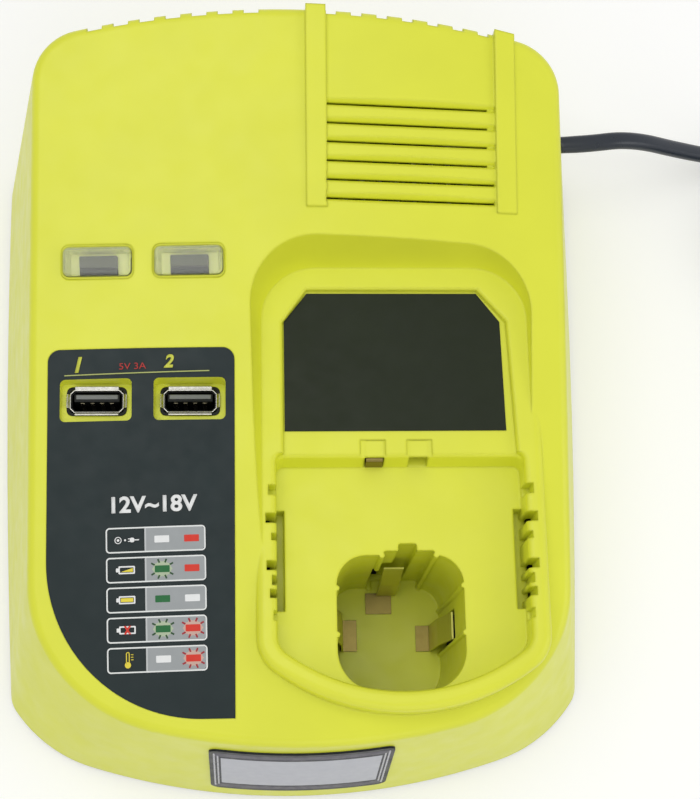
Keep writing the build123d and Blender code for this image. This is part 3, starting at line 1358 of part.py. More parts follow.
save("strain_relief", strain_relief())
save("cord_clamp", cord_clamp())
save("clamp_screw", clamp_screw())
save("mains_cord", cord_tube(CORD_ROUTE))
save("cord_coil", cord_coil())
save("cord_tie", cord_tie())
save("plug_lead", cord_tube(LEAD_ROUTE))
save("plug_body", plug_body())
save("plug_blades", Compound(children=plug_blades()))
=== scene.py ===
"""A charging station for cordless tool batteries: finishes, cord, print, sockets, lamps, badge, light."""
import json
import math

import bmesh
import bpy
from mathutils import Matrix, Quaternion, Vector
from mathutils.bvhtree import BVHTree


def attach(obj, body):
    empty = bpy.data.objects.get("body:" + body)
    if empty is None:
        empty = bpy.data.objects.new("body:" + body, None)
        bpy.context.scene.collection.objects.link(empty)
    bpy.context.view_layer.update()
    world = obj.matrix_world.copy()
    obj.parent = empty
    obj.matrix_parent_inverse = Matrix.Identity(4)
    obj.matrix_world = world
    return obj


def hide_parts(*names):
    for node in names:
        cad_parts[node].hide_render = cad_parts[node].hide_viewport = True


MM = 0.001

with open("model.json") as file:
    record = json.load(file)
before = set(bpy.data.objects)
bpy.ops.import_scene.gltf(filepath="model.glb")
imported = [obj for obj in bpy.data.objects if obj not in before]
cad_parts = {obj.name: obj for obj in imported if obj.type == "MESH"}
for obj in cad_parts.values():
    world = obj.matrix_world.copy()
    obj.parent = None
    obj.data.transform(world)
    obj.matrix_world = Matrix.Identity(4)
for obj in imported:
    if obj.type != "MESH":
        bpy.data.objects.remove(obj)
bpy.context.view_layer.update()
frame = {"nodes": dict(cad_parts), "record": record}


# ---------------------------------------------------------------------------------------------
# Making objects
# ---------------------------------------------------------------------------------------------
def link(name, data, material=None):
    """A new object in the scene."""
    piece = bpy.data.objects.new(name, data)
    bpy.context.scene.collection.objects.link(piece)
    if material:
        data.materials.append(material)
    return piece


def piece_of(name, shape, material, smooth=False):
    """A finished object from a bmesh in millimetres."""
    mesh = bpy.data.meshes.new(name)
    bmesh.ops.scale(shape, vec=(MM, MM, MM), verts=shape.verts)
    shape.to_mesh(mesh)
    shape.free()
    if smooth:
        mesh.shade_smooth()
    return link(name, mesh, material)


def wired(tree, kind, sources=(), **settings):
    """A new node with these settings, its inputs joined to the outputs given for them by name or number."""
    node = tree.nodes.new(kind)
    for key, value in settings.items():
        setattr(node, key, value)
    for key, source in dict(sources).items():
        tree.links.new(source, node.inputs[key])
    return node


def evaluated_mesh(source):
    """The plain mesh of an object with its modifiers applied."""
    graph = bpy.context.evaluated_depsgraph_get()
    return bpy.data.meshes.new_from_object(source.evaluated_get(graph))


# ---------------------------------------------------------------------------------------------
# Camera
# ---------------------------------------------------------------------------------------------
LENS = 74.34
NEAREST = 0.01              # metres
CAMERA_PLACE = (-14.80, -113.28, 457.70)
CAMERA_AIM = (16.58, 13.29, 0.0)
CAMERA_ROLL = 13.23         # degrees


def set_camera():
    """The camera, high over the front edge and a little rolled."""
    lens = bpy.data.cameras.new("camera")
    lens.lens = LENS
    lens.clip_start = NEAREST
    camera = link("camera", lens)
    place = Vector(CAMERA_PLACE) * MM
    aim = Vector(CAMERA_AIM) * MM
    roll = Quaternion((0, 0, 1), math.radians(CAMERA_ROLL))
    camera.matrix_world = Matrix.LocRotScale(place, (aim - place).to_track_quat("-Z", "Y") @ roll, None)
    bpy.context.scene.camera = camera


set_camera()


# ---------------------------------------------------------------------------------------------
# Finishes
# ---------------------------------------------------------------------------------------------
BEVEL_SAMPLES = 6
NOISE_LOW = 0.3             # most of a noise pattern lies between these two
NOISE_HIGH = 0.7
PATCH_LOW = 0.55            # and patches of tarnish grow where it lies between these
PATCH_HIGH = 0.75


class Finish:
    """A material whose colour, roughness and relief come from patterns in the piece's own coordinates."""

    def __init__(self, name, colour, roughness, metallic=0.0, specular=0.5, ior=1.47):
        self.material = bpy.data.materials.new(name)
        self.material.use_nodes = True
        self.tree = self.material.node_tree
        self.shader = self.tree.nodes["Principled BSDF"]
        self.coordinates = self.tree.nodes.new("ShaderNodeTexCoord").outputs["Object"]
        self.set(metallic=metallic, roughness=roughness, ior=ior, specular=specular)
        self.shader.inputs["Base Color"].default_value = (*colour, 1)
        self.colour = colour
        self.colour_end = None
        self.normal_end = None

    def set(self, **values):
        """Sets the shader's own sockets."""
        sockets = {"metallic": "Metallic", "roughness": "Roughness", "ior": "IOR",
                   "specular": "Specular IOR Level", "transmission": "Transmission Weight"}
        for key, value in values.items():
            self.shader.inputs[sockets[key]].default_value = value

    def node(self, kind, **inputs):
        """A new node with its inputs set by name."""
        made = self.tree.nodes.new(kind)
        for key, value in inputs.items():
            made.inputs[key.replace("_", " ")].default_value = value
        return made

    def join(self, source, target):
        self.tree.links.new(source, target)

    def noise(self, size, detail=2.0, stretch=(1, 1, 1)):
        """Cloudy pattern whose features are about size millimetres wide."""
        mapping = self.node("ShaderNodeMapping", Scale=stretch)
        self.join(self.coordinates, mapping.inputs["Vector"])
        pattern = self.node("ShaderNodeTexNoise", Scale=1 / (size * MM), Detail=detail)
        self.join(mapping.outputs["Vector"], pattern.inputs["Vector"])
        return pattern.outputs["Fac"]

    def blend(self, factor, low, high):
        """A colour between two, by a noise pattern that is first spread over 0 to 1."""
        spread = self.node("ShaderNodeMapRange", From_Min=NOISE_LOW, From_Max=NOISE_HIGH)
        self.join(factor, spread.inputs["Value"])
        mix = self.node("ShaderNodeMix")
        mix.data_type = "RGBA"
        self.join(spread.outputs["Result"], mix.inputs["Factor"])
        for socket, value in (("A", low), ("B", high)):
            target = [s for s in mix.inputs if s.name == socket and s.type == "RGBA"][0]
            target.default_value = (*value, 1)
        return [s for s in mix.outputs if s.type == "RGBA"][0]

    def mottle(self, amount, size, detail=3.0, stretch=(1, 1, 1)):
        """The colour varies by this share round its own value."""
        low = tuple(max(0.0, c * (1 - amount)) for c in self.colour)
        high = tuple(min(1.0, c * (1 + amount)) for c in self.colour)
        self.colour_end = self.blend(self.noise(size, detail, stretch), low, high)
        self.join(self.colour_end, self.shader.inputs["Base Color"])
        return self

    def tarnish(self, colour, size):
        """Patches of another colour over the finish."""
        patches = self.node("ShaderNodeMapRange", From_Min=PATCH_LOW, From_Max=PATCH_HIGH)
        self.join(self.noise(size, 5.0), patches.inputs["Value"])
        mix = self.node("ShaderNodeMix")
        mix.data_type = "RGBA"
        self.join(patches.outputs["Result"], mix.inputs["Factor"])
        first, second = [s for s in mix.inputs if s.type == "RGBA"]
        self.join(self.colour_end, first)
        second.default_value = (*colour, 1)
        self.colour_end = [s for s in mix.outputs if s.type == "RGBA"][0]
        self.join(self.colour_end, self.shader.inputs["Base Color"])
        return self

    def polish(self, low, high, size, detail=4.0, stretch=(1, 1, 1)):
        """The roughness wanders between two values."""
        spread = self.node("ShaderNodeMapRange", From_Min=NOISE_LOW, From_Max=NOISE_HIGH,
                           To_Min=low, To_Max=high)
        self.join(self.noise(size, detail, stretch), spread.inputs["Value"])
        self.join(spread.outputs["Result"], self.shader.inputs["Roughness"])
        return self

    def soften(self, radius):
        """Edges look rounded to this radius, in millimetres."""
        bevel = self.node("ShaderNodeBevel", Radius=radius * MM)
        bevel.samples = BEVEL_SAMPLES
        self.normal_end = bevel.outputs["Normal"]
        self.join(self.normal_end, self.shader.inputs["Normal"])
        return self

    def grain(self, height, size, detail=2.0, stretch=(1, 1, 1)):
        """Relief of this height with features of this size, in millimetres."""
        bump = self.node("ShaderNodeBump", Distance=height * MM, Strength=1.0)
        self.join(self.noise(size, detail, stretch), bump.inputs["Height"])
        if self.normal_end:
            self.join(self.normal_end, bump.inputs["Normal"])
        self.normal_end = bump.outputs["Normal"]
        self.join(self.normal_end, self.shader.inputs["Normal"])
        return self


def plastic(name, colour, roughness, grain=0.006, edge=0.25, mottle=0.03, coarse=0.0, specular=0.5,
            metallic=0.0):
    """Moulded plastic with a fine eroded texture and softened edges."""
    finish = Finish(name, colour, roughness, specular=specular, metallic=metallic)
    finish.mottle(mottle, 18.0).polish(roughness - 0.05, roughness + 0.07, 6.0)
    finish.soften(edge).grain(grain, 0.35, 3.0)
    if coarse:
        finish.grain(coarse, 9.0, 2.0)
    return finish.material


def metal(name, colour, roughness, stretch=(1, 1, 1), tarnish=None, spread=0.09):
    """Sheet or turned metal with fine drawn lines."""
    finish = Finish(name, colour, roughness, metallic=1.0)
    finish.mottle(spread, 2.0).polish(roughness - spread, roughness + spread, 0.8, 4.0, stretch)
    if tarnish:
        finish.tarnish(tarnish, 3.0)
    finish.soften(0.12).grain(0.002, 0.15, 3.0, stretch)
    return finish.material


def ink(name, colour, roughness=0.42, specular=0.4, relief=0.002):
    """Screen-printed ink."""
    finish = Finish(name, colour, roughness, specular=specular)
    finish.mottle(0.025, 3.0).polish(roughness - 0.06, roughness + 0.08, 2.0)
    if relief:
        finish.grain(relief, 0.12)
    return finish.material


def film(name, colour, roughness, specular=0.3):
    """Printed plastic film with a faint orange-peel surface."""
    finish = Finish(name, colour, roughness, specular=specular)
    finish.mottle(0.07, 9.0).polish(roughness - 0.06, roughness + 0.08, 4.0)
    finish.grain(0.003, 0.3).grain(0.01, 6.0)
    return finish.material


def clear(name, colour, roughness, ior=1.49, specular=0.5):
    """Clear moulded plastic or glass with a slightly wavy surface."""
    finish = Finish(name, colour, roughness, ior=ior, specular=specular)
    finish.set(transmission=1.0)
    finish.mottle(0.02, 3.0).soften(0.3).grain(0.004, 1.5)
    return finish.material


# the contact leaves are plated metal; their lime tint is a painted reflection of the lime walls round them
LEAF_REFLECTION_FINISH = plastic("plated leaf with painted lime reflection", (0.62, 0.6, 0.15), 0.42, grain=0.001, mottle=0.04, edge=0.12,
                      metallic=0.6)
FINISHES = {
    "housing_green": plastic("lime housing plastic", (0.755, 0.785, 0.045), 0.34, mottle=0.02, coarse=0.02,
                             edge=0.9),
    "base_plastic": plastic("charcoal base plastic", (0.045, 0.046, 0.05), 0.55, grain=0.012),
    "foot_rubber": plastic("foot rubber", (0.03, 0.03, 0.031), 0.8, grain=0.01),
    "screw_steel": metal("zinc-plated screw steel", (0.62, 0.63, 0.65), 0.35),
    "label_film": film("slate label film", (0.014, 0.024, 0.025), 0.42, specular=0.24),
    "rating_film": film("olive-black plate film", (0.013, 0.019, 0.007), 0.4, specular=0.22),
    "badge_grey": film("badge border film", (0.006, 0.008, 0.011), 0.35, specular=0.2),
    "lens_clear": clear("greenish lens plastic", (0.975, 0.985, 0.92), 0.03, specular=0.2),
    "led_body": plastic("smoked lamp block", (0.15, 0.165, 0.135), 0.3, mottle=0.06, edge=0.1),
    "board_green": plastic("green solder mask", (0.03, 0.2, 0.08), 0.35, grain=0.01),
    "socket_steel": metal("nickel-plated socket steel", (0.5, 0.49, 0.45), 0.18),
    "socket_black": plastic("black socket moulding", (0.006, 0.007, 0.007), 0.5, specular=0.25),
    "contact_brass": metal("gold-flashed contact brass", (0.34, 0.3, 0.2), 0.3),
    "contact_steel": metal("tinned contact bronze", (0.21, 0.165, 0.05), 0.34, tarnish=(0.19, 0.145, 0.042),
                           spread=0.02),
    "ferrite": plastic("ferrite", (0.05, 0.05, 0.055), 0.6, grain=0.02),
    "tape_yellow": plastic("yellow winding tape", (0.8, 0.62, 0.08), 0.35),
    "capacitor_sleeve": plastic("blue capacitor sleeve", (0.03, 0.05, 0.17), 0.25),
    "sink_aluminium": metal("extruded aluminium", (0.75, 0.76, 0.78), 0.4, stretch=(6, 6, 0.4)),
    "chip_black": plastic("black moulding compound", (0.03, 0.03, 0.03), 0.55, grain=0.012),
    "choke_green": plastic("lacquered choke wire", (0.05, 0.24, 0.12), 0.3),
    "fuse_glass": clear("fuse glass", (0.93, 0.96, 0.96), 0.03, ior=1.5),
    "film_yellow": plastic("yellow cast case", (0.85, 0.66, 0.07), 0.3),
    "cord_black": plastic("blue-black cord jacket", (0.018, 0.024, 0.036), 0.3, grain=0.001, specular=0.5),
    "tie_black": plastic("black tie strap", (0.03, 0.03, 0.032), 0.6, grain=0.02),
    "blade_brass": metal("nickel-plated plug brass", (0.8, 0.76, 0.66), 0.25),
}
OWN_FINISH = {side + "_contact_leaf": LEAF_REFLECTION_FINISH for side in ("rear", "left", "right")}


def finish_frame():
    """Every node of the solid model takes the finish of its own slot, or its own variant of it."""
    slots = {part["node"]: part["material_slot"] for part in frame["record"]["subparts"]}
    for name, node in frame["nodes"].items():
        for slot in node.material_slots:
            slot.material = OWN_FINISH.get(name, FINISHES[slots[name]])


finish_frame()


# ---------------------------------------------------------------------------------------------
# Mains cord and plug
# ---------------------------------------------------------------------------------------------
CORD_WIDTH = 5.0
CORD_THICKNESS = 3.7
BORE_FIT = 0.95             # the sleeve in the wall squeezes the jacket this much
BORE_LENGTH = 6.0
JACKET_SIDE = 84            # degrees: each core's outline runs from minus this to plus this
JACKET_STEP = 21
RUN_OUT = ((75.0, 80.5, 28.2), (83.0, 80.7, 28.5), (97.0, 83.2, 27.2), (115.5, 84.8, 15.0),
           (134.5, 86.2, 5.4), (154.0, 88.0, 4.4))
COIL_CENTRE = (163.0, 60.0, 8.0)
COIL_RADIUS = 24.0
COIL_START = 80.0           # degrees
COIL_STEP = 30.0
LINE_STEPS = 8              # points on each part of the cord's line
BESIDE = 4.7                # between the centres of two turns side by side
LAYER = 4.07                # and one above the other
PLACES = ((BESIDE, -LAYER), (0.0, -LAYER), (-BESIDE, -LAYER), (-BESIDE / 2, 0.0), (BESIDE / 2, 0.0),
          (-BESIDE, LAYER), (0.0, LAYER), (BESIDE, LAYER))
LEAD = ((191.0, 51.0, 11.5), (190.6, 32.0, 4.0), (193.5, 11.0, 6.5), (193.5, -8.0, 6.5))
TWIST = math.radians(55)
TWIST_START = 38.0          # along the cord, where it starts to turn over and where it has turned
TWIST_END = 95.0


def coil_points():
    """Turns that wind clockwise, each passing on to the next one's place in the bundle."""
    points = []
    steps = int(360 / COIL_STEP)
    x, y, z = COIL_CENTRE
    for turn, (out, up) in enumerate(PLACES):
        last = turn == len(PLACES) - 1
        next_out, next_up = PLACES[turn if last else turn + 1]
        count = steps + int(COIL_START / COIL_STEP) if last else steps
        for step in range(count):
            share = max(0.0, 2 * step / steps - 1)
            angle = math.radians(COIL_START - COIL_STEP * step)
            radius = COIL_RADIUS + out + (next_out - out) * share
            height = z + up + (next_up - up) * share
            points.append((x + radius * math.cos(angle), y + radius * math.sin(angle), height))
    return points


def cord_spline():
    """The cord's own line from the housing through the coil to the plug."""
    points = list(RUN_OUT) + coil_points() + list(LEAD)
    curve = bpy.data.curves.new("cord line", "CURVE")
    curve.dimensions = "3D"
    curve.resolution_u = LINE_STEPS
    spline = curve.splines.new("NURBS")
    spline.points.add(len(points) - 1)
    for place, point in zip(spline.points, points):
        place.co = (point[0] * MM, point[1] * MM, point[2] * MM, 1)
    spline.order_u = 3
    spline.use_endpoint_u = True
    return curve


def path_of(curve):
    """Points along a curve, in order, in metres."""
    line = link("line", curve)
    mesh = evaluated_mesh(line)
    points = [v.co.copy() for v in mesh.vertices]
    bpy.data.objects.remove(line)
    return points


def jacket_section(turn):
    """The flat two-core jacket's outline, turned round the cord by this angle."""
    core = CORD_THICKNESS / 2
    shift = (CORD_WIDTH - CORD_THICKNESS) / 2
    outline = []
    for side in (1, -1):
        for degrees in range(-JACKET_SIDE, JACKET_SIDE + 1, JACKET_STEP):
            angle = math.radians(degrees)
            across = side * (shift + core * math.cos(angle))
            along = side * core * math.sin(angle)
            outline.append((across, along))
    cos, sin = math.cos(turn), math.sin(turn)
    return [(a * cos - b * sin, a * sin + b * cos) for a, b in outline]


def mains_cord():
    """Flat black two-core cord that follows the cord's line, with that line and its length in metres."""
    path = path_of(cord_spline())
    shape = bmesh.new()
    rings = []
    travelled = 0.0
    for index, point in enumerate(path):
        before, after = path[max(index - 1, 0)], path[min(index + 1, len(path) - 1)]
        along = (after - before).normalized()
        side = along.cross(Vector((0, 0, 1))).normalized()
        up = side.cross(along)
        travelled += (point - before).length / MM
        turned = min(1.0, max(0.0, (travelled - TWIST_START) / (TWIST_END - TWIST_START)))
        fit = BORE_FIT + (1 - BORE_FIT) * min(1.0, travelled / BORE_LENGTH)
        section = jacket_section(TWIST * turned * turned * (3 - 2 * turned))
        ring = [shape.verts.new(point / MM + side * a * fit + up * b * fit) for a, b in section]
        rings.append(ring)
    for first, second in zip(rings, rings[1:]):
        for k in range(len(first)):
            shape.faces.new((first[k - 1], first[k], second[k], second[k - 1]))
    shape.faces.new(rings[0])
    shape.faces.new(reversed(rings[-1]))
    bmesh.ops.recalc_face_normals(shape, faces=shape.faces)
    piece = piece_of("flat_cord", shape, FINISHES["cord_black"], smooth=True)
    length = sum((b - a).length for a, b in zip(path, path[1:]))
    return piece, path, length


cord, cord_line, cord_length = mains_cord()
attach(cord, "charger")
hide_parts("mains_cord", "cord_coil", "plug_lead")


# ---------------------------------------------------------------------------------------------
# Printing on the control label
# ---------------------------------------------------------------------------------------------
TOP_LEVEL = 82.2            # height of the top face at TOP_EDGE, along the middle of its crown
TOP_EDGE = 94.0
TOP_SLOPE = math.radians(9.4)
CROWN_RADIUS = 463.0
CROWN_X = -12.0
FILM = 0.25                 # thickness of the label
PROBE = 0.5                 # how far apart heights are taken to find the slope
PRINT_SPACING = 1.5         # printed areas are cut into strips this wide, so that they follow the surface
PRINT_DEPTH = 0.06          # and reach this far below it


def top_height(x, y):
    """Height of the crowned, sloping top face."""
    sag = CROWN_RADIUS - math.sqrt(CROWN_RADIUS ** 2 - (x - CROWN_X) ** 2)
    return TOP_LEVEL + (y - TOP_EDGE) * math.tan(TOP_SLOPE) - sag / math.cos(TOP_SLOPE)


PRINT_TURN = math.radians(1.0)
PRINT_PIVOT = (-35.6, -38.3)


def on_label(u, v):
    """A place on the label's print, which lies slightly turned."""
    cos, sin = math.cos(PRINT_TURN), math.sin(PRINT_TURN)
    return PRINT_PIVOT[0] + u * cos - v * sin, PRINT_PIVOT[1] + u * sin + v * cos


def smaller(size, less):
    """A width and a height, each less by this much."""
    return size[0] - less, size[1] - less


def outline_rectangle(width, height, radius, centre=(0, 0), steps=5):
    """Corner points of a rounded rectangle, counter-clockwise."""
    points = []
    for sx, sy, start in ((1, 1, 0), (-1, 1, 90), (-1, -1, 180), (1, -1, 270)):
        for step in range(steps + 1):
            angle = math.radians(start + 90 * step / steps)
            x = sx * (width / 2 - radius) + radius * math.cos(angle)
            y = sy * (height / 2 - radius) + radius * math.sin(angle)
            points.append((centre[0] + x, centre[1] + y))
    return points


def outline_disc(radius, centre=(0, 0), steps=24):
    """Points round a circle, counter-clockwise."""
    turns = [2 * math.pi * k / steps for k in range(steps)]
    return [(centre[0] + radius * math.cos(turn), centre[1] + radius * math.sin(turn)) for turn in turns]


class Print:
    """Flat areas of one ink, gathered before they are laid on a surface."""

    def __init__(self):
        self.shape = bmesh.new()

    def area(self, points):
        """The area inside an outline."""
        self.shape.faces.new([self.shape.verts.new((x, y, 0)) for x, y in points])

    def band(self, outer, inner):
        """The strip between two outlines with as many points."""
        a = [self.shape.verts.new((x, y, 0)) for x, y in outer]
        b = [self.shape.verts.new((x, y, 0)) for x, y in inner]
        for k in range(len(a)):
            self.shape.faces.new((a[k - 1], a[k], b[k], b[k - 1]))

    def mesh(self, mesh, place):
        """Adds a ready flat mesh, each point moved by place."""
        start = len(self.shape.verts)
        self.shape.from_mesh(mesh)
        self.shape.verts.ensure_lookup_table()
        for vert in self.shape.verts[start:]:
            vert.co = Vector((*place(vert.co.x, vert.co.y), 0))

    def lay(self, name, material, surface, lift, spacing=PRINT_SPACING):
        """Cuts the areas fine enough to follow the surface, lays them on it and closes them underneath."""
        shape = self.shape
        bmesh.ops.recalc_face_normals(shape, faces=shape.faces)
        low = min(v.co.x for v in shape.verts)
        high = max(v.co.x for v in shape.verts)
        for k in range(1, int((high - low) / spacing) + 1):
            everything = shape.verts[:] + shape.edges[:] + shape.faces[:]
            bmesh.ops.bisect_plane(shape, geom=everything, plane_co=(low + k * spacing, 0, 0),
                                   plane_no=(1, 0, 0))
        bmesh.ops.triangulate(shape, faces=shape.faces)
        bmesh.ops.reverse_faces(shape, faces=[f for f in shape.faces if f.normal.z < 0])
        extruded = bmesh.ops.extrude_face_region(shape, geom=shape.faces[:])
        raised = {v for v in extruded["geom"] if isinstance(v, bmesh.types.BMVert)}
        for vert in shape.verts:
            point, out = surface(vert.co.x, vert.co.y)
            vert.co = point + out * (lift if vert in raised else -PRINT_DEPTH)
        bmesh.ops.recalc_face_normals(shape, faces=shape.faces)
        piece = piece_of(name, shape, material)
        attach(piece, "charger")


def label_surface(x, y):
    """Point and outward direction on the control label's film."""
    z = top_height(x, y)
    slope_x = (top_height(x + PROBE, y) - z) / PROBE
    slope_y = (top_height(x, y + PROBE) - z) / PROBE
    out = Vector((-slope_x, -slope_y, 1)).normalized()
    return Vector((x, y, z)) + out * FILM, out


INKS = {
    "white": ink("white ink", (0.82, 0.83, 0.82)),
    "frame": ink("pale frame ink", (0.78, 0.8, 0.78)),
    "grey": ink("grey field ink", (0.33, 0.35, 0.355)),
    "green": ink("green ink", (0.006, 0.13, 0.028)),
    "red": ink("red ink", (0.66, 0.03, 0.012)),
    "pale_grey": ink("pale grey ink", (0.52, 0.54, 0.54)),
    "dull_red": ink("dull red ink", (0.42, 0.02, 0.015)),
    "yellow": ink("yellow ink", (0.8, 0.66, 0.05)),
    "lime": ink("lime ink", (0.6, 0.62, 0.07)),
    "pale_lime": ink("pale lime ink", (0.42, 0.46, 0.14)),
    "green_halo": ink("pale green ink", (0.42, 0.5, 0.34)),
    "red_halo": ink("pale red ink", (0.6, 0.4, 0.33)),
    "green_stroke": ink("dark green ink", (0.012, 0.06, 0.014)),
    "red_stroke": ink("crimson ink", (0.34, 0.014, 0.024)),
}

ROW_PITCH = 7.13
ROW_SIZE = (24.2, 6.1)
ROW_LINE = 0.34
ROW_CORNER = 0.95
ROW_SPLIT = -2.5            # where the grey field starts
SPLIT_LINE = 0.4
FIELD_CUT = 0.5             # its two outer corners
LAMP_MARK = (3.6, 1.65)
LAMP_MARKS = (1.5, 8.7)
HALO = ((2.5, 2.15), (2.2, 1.7))    # half width and half height at its points and between them
HALO_POINTS = 20
# left and right lamp's colour in each row, with a star where the lamp flashes
LAMP_STATES = (("white", "red"), ("green*", "red"), ("green", "white"), ("green*", "red*"),
               ("white", "red*"))
SPOKE_COUNT = 10
SPOKE_SIZES = {"Half Width": 2.75, "Half Height": 2.0, "Stroke Length": 0.95, "Stroke Width": 0.42,
               "Least Rise": 0.3}
ICON_X = -7.1
SHEETS = {name: Print() for name in INKS}


def spokes_tree():
    """Geometry Nodes: strokes round an ellipse that point away from its middle, none level with it."""
    tree = bpy.data.node_groups.new("spokes round a lamp mark", "GeometryNodeTree")
    face = tree.interface
    face.new_socket("Geometry", in_out="OUTPUT", socket_type="NodeSocketGeometry")
    face.new_socket("Count", in_out="INPUT", socket_type="NodeSocketInt").default_value = SPOKE_COUNT
    for name, value in SPOKE_SIZES.items():
        face.new_socket(name, in_out="INPUT", socket_type="NodeSocketFloat").default_value = value
    face.new_socket("Ink", in_out="INPUT", socket_type="NodeSocketMaterial")
    given = wired(tree, "NodeGroupInput").outputs
    ring = wired(tree, "GeometryNodeMeshCircle", {"Vertices": given["Count"]})
    ring.inputs["Radius"].default_value = 1
    half_size = wired(tree, "ShaderNodeCombineXYZ", {"X": given["Half Width"], "Y": given["Half Height"]})
    place = wired(tree, "GeometryNodeInputPosition")
    product = wired(tree, "ShaderNodeVectorMath",
                    {0: place.outputs["Position"], 1: half_size.outputs["Vector"]}, operation="MULTIPLY")
    ellipse = wired(tree, "GeometryNodeSetPosition",
                    {"Geometry": ring.outputs["Mesh"], "Position": product.outputs["Vector"]})
    parts = wired(tree, "ShaderNodeSeparateXYZ", {"Vector": place.outputs["Position"]})
    rise = wired(tree, "ShaderNodeMath", {0: parts.outputs["Y"]}, operation="ABSOLUTE")
    high = wired(tree, "FunctionNodeCompare", {"A": rise.outputs["Value"], "B": given["Least Rise"]})
    turn = wired(tree, "FunctionNodeAlignRotationToVector", {"Vector": place.outputs["Position"]},
                 axis="X", pivot_axis="Z")
    stroke = wired(tree, "GeometryNodeMeshGrid",
                   {"Size X": given["Stroke Length"], "Size Y": given["Stroke Width"]})
    stroke.inputs["Vertices X"].default_value = 2
    stroke.inputs["Vertices Y"].default_value = 2
    stand = wired(tree, "GeometryNodeInstanceOnPoints",
                  {"Points": ellipse.outputs["Geometry"], "Selection": high.outputs["Result"],
                   "Instance": stroke.outputs["Mesh"], "Rotation": turn.outputs["Rotation"]})
    real = wired(tree, "GeometryNodeRealizeInstances", {"Geometry": stand.outputs["Instances"]})
    coloured = wired(tree, "GeometryNodeSetMaterial",
                     {"Geometry": real.outputs["Geometry"], "Material": given["Ink"]})
    wired(tree, "NodeGroupOutput", {"Geometry": coloured.outputs["Geometry"]})
    return tree


def grown(tree, **values):
    """The plain mesh that a Geometry Nodes tree makes with these inputs."""
    host = link("host", bpy.data.meshes.new("host"))
    modifier = host.modifiers.new("grow", "NODES")
    modifier.node_group = tree
    for item in tree.interface.items_tree:
        key = item.name.replace(" ", "_").lower()
        if item.in_out == "INPUT" and key in values:
            modifier[item.identifier] = values[key]
    mesh = evaluated_mesh(host)
    host.modifiers.remove(modifier)
    bpy.data.objects.remove(host)
    return mesh


SPOKES = spokes_tree()


class Row:
    """A line of the lamp chart; its areas are given from its own middle."""

    def __init__(self, number):
        self.drop = number * ROW_PITCH

    def place(self, u, v):
        return on_label(u, v - self.drop)

    def area(self, ink_name, points):
        SHEETS[ink_name].area([self.place(*p) for p in points])

    def band(self, ink_name, outer, inner):
        SHEETS[ink_name].band([self.place(*p) for p in outer], [self.place(*p) for p in inner])

    def box(self, ink_name, width, height, radius, x, y=0.0, steps=1):
        self.area(ink_name, outline_rectangle(width, height, radius, (x, y), steps))

    def disc(self, ink_name, radius, x, y=0.0, steps=12):
        self.area(ink_name, outline_disc(radius, (x, y), steps))


def lamp_mark(row, x, state):
    """The mark of one lamp; a flashing one has a halo and strokes round it."""
    colour = state.rstrip("*")
    row.box(colour, *LAMP_MARK, 0.12, x)
    if state.endswith("*"):
        strokes = grown(SPOKES, ink=INKS[colour + "_stroke"])
        SHEETS[colour + "_stroke"].mesh(strokes, lambda u, v: row.place(x + u, v))
        rays = [(2 * math.pi * k / HALO_POINTS, *HALO[k % 2]) for k in range(HALO_POINTS)]
        row.area(colour + "_halo", [(x + half_width * math.cos(turn), half_height * math.sin(turn))
                                    for turn, half_width, half_height in rays])


def status_row(row, states):
    """One boxed line of the lamp chart: a dark field for its sign and a grey one for two lamp marks."""
    width, height = smaller(ROW_SIZE, 2 * ROW_LINE)
    row.band("frame", outline_rectangle(*ROW_SIZE, ROW_CORNER),
             outline_rectangle(width, height, ROW_CORNER - ROW_LINE))
    right, high = width / 2, height / 2
    row.area("grey", ((ROW_SPLIT, -high), (right - FIELD_CUT, -high), (right, -high + FIELD_CUT),
                      (right, high - FIELD_CUT), (right - FIELD_CUT, high), (ROW_SPLIT, high)))
    row.box("pale_grey", SPLIT_LINE, height, 0.05, ROW_SPLIT)
    for x, state in zip(LAMP_MARKS, states):
        lamp_mark(row, x, state)


BATTERY = (4.0, 1.9)
BATTERY_WALL = 0.34
BATTERY_CAP = (0.6, 0.95)
BATTERY_BAR = (3.0, 0.9)
CROSS_STROKE = ((-0.9, -1.0), (-0.35, -1.0), (0.9, 1.0), (0.35, 1.0))


def battery_sign(row, fill):
    """Outline of a battery lying on its side: full, filling up, or crossed out."""
    row.band("white", outline_rectangle(*BATTERY, 0.2, (ICON_X, 0), steps=2),
             outline_rectangle(*smaller(BATTERY, 2 * BATTERY_WALL), 0.1, (ICON_X, 0), steps=2))
    row.box("white", *BATTERY_CAP, 0.1, ICON_X - BATTERY[0] / 2 - BATTERY_CAP[0] / 2)
    right, high = BATTERY_BAR[0] / 2, BATTERY_BAR[1] / 2
    if fill == "full":
        row.box("yellow", *BATTERY_BAR, 0.05, ICON_X)
    elif fill == "rising":
        row.area("yellow", ((ICON_X - right, -high), (ICON_X + right, -high), (ICON_X + right, high)))
    else:
        for lean in (1, -1):
            row.area("red", [(ICON_X + lean * x, y) for x, y in CROSS_STROKE][::lean])


def plug_sign(row):
    """A ring, a dot and a plug."""
    ring_x = ICON_X - 2.0
    row.band("white", outline_disc(0.85, (ring_x, 0)), outline_disc(0.66, (ring_x, 0)))
    row.disc("white", 0.32, ring_x)
    row.disc("white", 0.25, ICON_X - 0.3)
    row.box("white", 1.1, 1.1, 0.4, ICON_X + 1.4, steps=5)
    row.box("white", 1.2, 0.26, 0.08, ICON_X + 2.5)
    for side in (-1, 1):
        row.box("white", 0.5, 0.2, 0.05, ICON_X + 0.65, side * 0.3)


